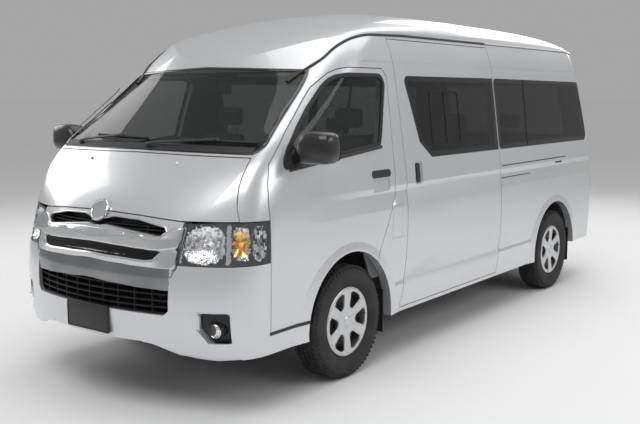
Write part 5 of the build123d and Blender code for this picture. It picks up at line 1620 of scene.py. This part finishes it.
def plumped(name, mesh, flatBelow=None):
    # a foam pad: remeshed, blown up a little as cloth, held near its start, then smoothed
    pad = bpy.data.objects.new(name + "Start", mesh)
    scene.collection.objects.link(pad)
    remesh = pad.modifiers.new("grid", "REMESH")
    remesh.mode, remesh.voxel_size = "VOXEL", seatSizes["voxel"]
    even = evaluated(pad)
    pad.modifiers.remove(remesh)
    pad.data = even
    start = [v.co.copy() for v in even.vertices]
    cloth = pad.modifiers.new("cloth", "CLOTH")
    cloth.settings.use_pressure = True
    cloth.settings.uniform_pressure_force = seatSizes["pressure"]
    cloth.settings.effector_weights.gravity = 0
    cloth.point_cache.frame_end = seatSizes["frames"]
    for number in range(1, seatSizes["frames"] + 1):
        scene.frame_set(number)
    blown = evaluated(pad)
    pad.modifiers.remove(cloth)
    scene.frame_set(1)
    for v, home in zip(blown.vertices, start):
        move = v.co - home
        if move.length > seatSizes["most"]:
            v.co = home + move.normalized() * seatSizes["most"]
        if flatBelow is not None:
            v.co.z = max(v.co.z, flatBelow)
    pad.data = blown
    finer = pad.modifiers.new("finer", "SUBSURF")
    finer.levels = finer.render_levels = 1
    smooth = evaluated(pad)
    bpy.data.objects.remove(pad)
    smooth.name = name
    return smooth

def padShape(name, low, high, radius, waist):
    # rounded block whose sides draw in between the corners
    mesh = softBox(name, low, high, radius, 4)
    middle = (Vector(low) + Vector(high)) / 2
    half = (Vector(high) - Vector(low)) / 2
    for v in mesh.vertices:
        u = v.co - middle
        across = 1 - waist * max(0, 1 - abs(u.y / half.y) ** 2)
        v.co.x = middle.x + u.x * across
    return mesh

def seatParts(width):
    # pads of one seat about its own middle line, with the cushion's front bottom edge at the origin
    half = width / 2
    cushion = padShape("cushion", (-half + 0.02, 0.018, 0.004), (half - 0.02, 0.462, 0.115), 0.05, 0.03)
    cushion = plumped("cushionPad", cushion, 0.001)
    tall = seatSizes["restTall"]
    rest = softBox("rest", (-half + 0.028, -0.040, -tall), (half - 0.028, 0.038, tall), 0.045, 4)
    for v in rest.vertices:
        up = (v.co.z + tall) / (2 * tall)
        v.co.x *= 1 - seatSizes["shoulder"] * up ** 3    # drawn in towards the shoulders
    rest = plumped("restPad", rest)
    head = softBox("head", (-0.108, -0.030, -0.066), (0.108, 0.030, 0.066), 0.032, 4)
    head = plumped("headPad", head)
    return cushion, rest, head

def seatBase(half, drop):
    # a low block, or two legs under a tray where the cushion stands high
    if drop < 0.1:
        return softBox("base", (-half, 0.022, 0.0005 - drop), (half, 0.445, -0.0005), 0.006)
    parts = [softBox("tray", (-half, 0.022, -0.05), (half, 0.445, -0.001), 0.012)]
    for x in (0.03 - half, half - 0.03):
        parts.append(softBox("leg", (x - 0.018, 0.06, 0.001 - drop), (x + 0.018, 0.40, -0.03), 0.008))
    return joined("base", parts)

def buildSeat(label, side, x, d, parts, width, cushionZ, baseZ, headPlace, stands=()):
    def at(dx, dd, dz):
        return Matrix.Translation((x + dx, back(d + dd), cushionZ + dz))

    cushion, rest, head = parts
    lean = Matrix.Rotation(math.radians(-seatSizes["lean"]), 4, "X")
    for name, pad, place, replaced in (("cushion_", cushion, at(0, 0, 0), stands),
                                       ("backrest_", rest, at(0, 0.51, 0.38) @ lean, ()),
                                       ("headrest_", head, Matrix.Translation(headPlace), ())):
        piece = addPiece(name + label, moved(pad, place), seatCloth, "body", 60, replaced)
    _, y, z = headPlace
    near, far = seatSizes["stemReach"]
    stems = [tube("stem", [(sx, y, z - near), (sx, y, z - far)], 0.006, 12)
             for sx in (x - seatSizes["stem"], x + seatSizes["stem"])]
    addPiece("headrestStems_" + label, joined("stems", stems), chrome, "body", 50)
    base = seatBase(width / 2 - 0.026, cushionZ - baseZ)
    addPiece("seatBase_" + label, moved(base, at(0, 0, 0)), trimBlack, "body", 40)
    latch = softBox("latch", (-0.02, -0.01, -0.035), (0.02, 0.01, 0.035), 0.006)
    place = at(side * (width / 2 - 0.012), 0.44, 0.05)
    addPiece("reclineLever_" + label, moved(latch, place), trimBlack, "body", 40)

frontParts, rearParts = seatParts(seatSizes["frontWidth"]), seatParts(seatSizes["rowWidth"])
for side, label in sideNames:
    x, d, z = side * seatSizes["frontAcross"], seatSizes["front"], seatSizes["frontBase"]
    buildSeat("front_" + label, side, x, d, frontParts, seatSizes["frontWidth"], z + 0.025, z,
              (x, back(d + 0.63), z + 0.760), ["front_seats"] if side > 0 else [])
    x, z = side * seatSizes["rowAcross"], seatSizes["floor"]
    for row, d in enumerate(seatSizes["rows"]):
        buildSeat("row%d_%s" % (row + 1, label), side, x, d, rearParts, seatSizes["rowWidth"],
                  z + seatSizes["rowRaised"], z, (x, back(d + 0.625), z + 0.925),
                  ["rear_seats"] if side > 0 and row == 0 else [])
print("seats done")

# dashboard, wheel, small fittings
dashTree = treeOf(["dashboard"])
face = dashTree.ray_cast(Vector((0.0, back(2.2), 1.05)), Vector((0, -1, 0)))[0].y
# blocks on the dashboard: two corners as (x, distance behind its face, height), edge radius, finish and slot
dashBlocks = {
    "clusterHood": ((-0.60, -0.14, 1.130), (-0.20, 0.020, 1.185), 0.022, trimGrey, "trim_grey"),
    "clusterGlass": ((-0.565, -0.002, 1.045), (-0.235, 0.006, 1.128), 0.006, glossBlack, None),
    "centrePanel": ((-0.13, -0.002, 0.905), (0.13, 0.012, 1.120), 0.012, trimBlack, None),
    "radioFace": ((-0.095, 0.008, 1.020), (0.095, 0.015, 1.095), 0.004, glossBlack, None),
    "gloveBoxLid": ((0.22, -0.002, 0.925), (0.62, 0.008, 1.045), 0.008, trimGrey, None),
}
ventSize = {"places": (-0.665, -0.165, 0.165, 0.70), "half": 0.052, "low": 1.060, "high": 1.120, "slats": 5,
            "step": 0.0115}
knobSize = {"places": (-0.075, 0.0, 0.075), "height": 0.955, "behind": 0.010,
            "profile": [(0.0, 0.0005), (0.0, 0.019), (0.018, 0.017), (0.02, 0.014), (0.02, 0.0005)]}

def buildDash():
    for name, ((x0, d0, z0), (x1, d1, z1), radius, finish, slot) in dashBlocks.items():
        block = softBox(name, (x0, face + d0, z0), (x1, face + d1, z1), radius)
        addPiece(name, block, finish, "body", 40)
    knob = lathed("knob", knobSize["profile"], 28)
    seats = [Vector((x, face + knobSize["behind"], knobSize["height"])) for x in knobSize["places"]]
    knobs = [moved(knob, facing(seat, Vector((0, 1, 0)))) for seat in seats]
    addPiece("heaterKnobs", joined("knobs", knobs), trimGrey, "body", 40)
    half, low, high = ventSize["half"], ventSize["low"], ventSize["high"]
    for x in ventSize["places"]:
        mark = "%d" % round(x * 1000 + 1000)
        vent = softBox("vent", (x - half, face - 0.001, low), (x + half, face + 0.008, high), 0.006)
        addPiece("vent_" + mark, vent, trimBlack, "body", 40)
        inner = half - 0.008
        slat = softBox("slat", (x - inner, face + 0.006, low + 0.006),
                       (x + inner, face + 0.011, low + 0.010), 0.001, 1)
        row = repeated("ventSlats", slat, ventSize["slats"], glossBlack, "row", 0.0, (0, 0, ventSize["step"]))
        addPiece("ventSlats_" + mark, row, glossBlack, "body", 40)

buildDash()

controls = {
    "hub": (-0.40, 1.010, 1.110), "axis": (0, 0.81915, 0.57358), "stalkReach": 0.17, "lever": -0.02,
    "pad": [(0.008, 0.0005), (0.008, 0.06), (0.022, 0.066), (0.034, 0.06), (0.04, 0.045), (0.042, 0.0005)],
    "pedals": (-0.30, -0.39, -0.49), "pedalPlace": (0.735, 0.600), "pedalSize": (0.03, 0.010, 0.065),
}

def buildControls():
    x, d, z = controls["hub"]
    hub, axis = Vector((x, back(d), z)), Vector(controls["axis"])
    addPiece("wheelPad", moved(lathed("pad", controls["pad"], 48), facing(hub, axis)), trimBlack,
             "steering_wheel", 40)
    root = hub - axis * 0.07
    for side, label in sideNames:
        tip = root + Vector((side * controls["stalkReach"], 0, 0.012))
        addPiece("stalk_" + label, tube("stalk", [root + Vector((side * 0.03, 0, 0)), tip], 0.007, 12),
                 trimBlack, "body", 50)
    x = controls["lever"]
    lever = tube("lever", [(x, face - 0.01, 0.93), (x, face + 0.07, 0.965), (x, face + 0.10, 1.01)],
                 0.007, 12)
    knob = softBox("knob", (-0.02, -0.018, -0.026), (0.02, 0.018, 0.026), 0.014)
    knob = moved(knob, Matrix.Translation((x, face + 0.103, 1.028)))
    addPiece("gearLever", joined("gear", [lever, knob]), trimBlack, "body", 50)
    d, z = controls["pedalPlace"]
    half, thick, high = controls["pedalSize"]
    for x in controls["pedals"]:
        pedal = softBox("pedal", (x - half, back(d), z), (x + half, back(d + thick), z + high), 0.003, 2)
        arm = tube("arm", [(x, back(d), z + 0.03), (x, back(0.70), 0.80)], 0.006, 10)
        addPiece("pedal_%d" % round(-x * 100), joined("pedal", [pedal, arm]), rubber, "body", 40)

buildControls()

# blocks under the roof: two corners as (x, distance back, height), edge radius, bevel steps and finish
roofBlocks = {
    "innerMirror": ((-0.11, 1.065, 1.705), (0.11, 1.085, 1.765), 0.010, 3, trimBlack),
    "innerMirrorGlass": ((-0.102, 1.084, 1.711), (0.102, 1.087, 1.759), 0.001, 1, mirrorGlass),
    "sunVisor_left": ((0.20, 1.03, 1.812), (0.60, 1.19, 1.826), 0.006, 3, liningGrey),
    "sunVisor_right": ((-0.60, 1.03, 1.812), (-0.20, 1.19, 1.826), 0.006, 3, liningGrey),
}
for name, ((x0, d0, z0), (x1, d1, z1), radius, steps, finish) in roofBlocks.items():
    addPiece(name, softBox(name, (x0, back(d0), z0), (x1, back(d1), z1), radius, steps), finish, "body", 40)
stem = tube("stem", [(0, back(1.07), 1.76), (0, back(1.035), 1.80)], 0.006, 10)
addPiece("innerMirrorStem", stem, trimBlack, "body", 50)
print("cabin done")

# under the floor
underSize = {
    "rearAxle": 4.3282, "axleZ": 0.345, "shaftFrom": (1.405, 0.470), "shaftTo": (4.17, 0.352),
    "shaft": [(0.0, 0.0005), (0.0, 0.03), (0.03, 0.045), (0.07, 0.045), (0.09, 0.032), (2.66, 0.032),
              (2.68, 0.045), (2.72, 0.045), (2.75, 0.03), (2.75, 0.0005)],
    "bowl": [(-0.14, 0.0005), (-0.14, 0.05), (-0.12, 0.09), (-0.07, 0.125), (0.0, 0.138), (0.07, 0.125),
             (0.12, 0.09), (0.14, 0.05), (0.14, 0.0005)],
    "damperLow": (0.47, 0.10, 0.03), "damperHigh": (0.34, 0.32, 0.48), "damperTube": (0.026, 0.58),
    "damperRod": (0.012, 0.6), "pipe": [(0.455, 1.5, 0.47), (0.455, 4.0, 0.47), (0.40, 4.25, 0.40)],
    "pipeRadius": 0.004,
}

def buildUnderside():
    s = underSize
    start, end = (Vector((0.0, back(d), z)) for d, z in (s["shaftFrom"], s["shaftTo"]))
    shaft = moved(lathed("shaft", s["shaft"], 32), facing(start, (end - start).normalized()))
    addPiece("propShaft", shaft, darkSteel, "body", 50)
    middle = Matrix.Translation((0, back(s["rearAxle"]), s["axleZ"]))
    addPiece("differential", moved(lathed("bowl", s["bowl"], 36), middle), castGrey, "body", 40)
    for side, label in sideNames:
        x, d, z = s["damperLow"]
        low = Vector((side * x, back(s["rearAxle"] + d), s["axleZ"] + z))
        x, d, z = s["damperHigh"]
        way = Vector((side * x, back(s["rearAxle"] + d), z)) - low
        (wide, tubeEnd), (thin, rodStart), reach = s["damperTube"], s["damperRod"], way.length
        profile = [(0.0, 0.0005), (0.0, wide), (reach * tubeEnd, wide), (reach * rodStart, thin),
                   (reach, thin), (reach, 0.0005)]
        damper = moved(lathed("damper", profile, 24), facing(low, way.normalized()))
        addPiece("rearDamper_" + label, damper, darkSteel, "body", 40)
        line = roundedLine([(side * x, back(d), z) for x, d, z in s["pipe"]], 0.05, 0.05, False)
        addPiece("brakePipe_" + label, tube("pipe", line, s["pipeRadius"], 8), darkSteel, "body", 50)

buildUnderside()
print("underside done")

low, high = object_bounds()
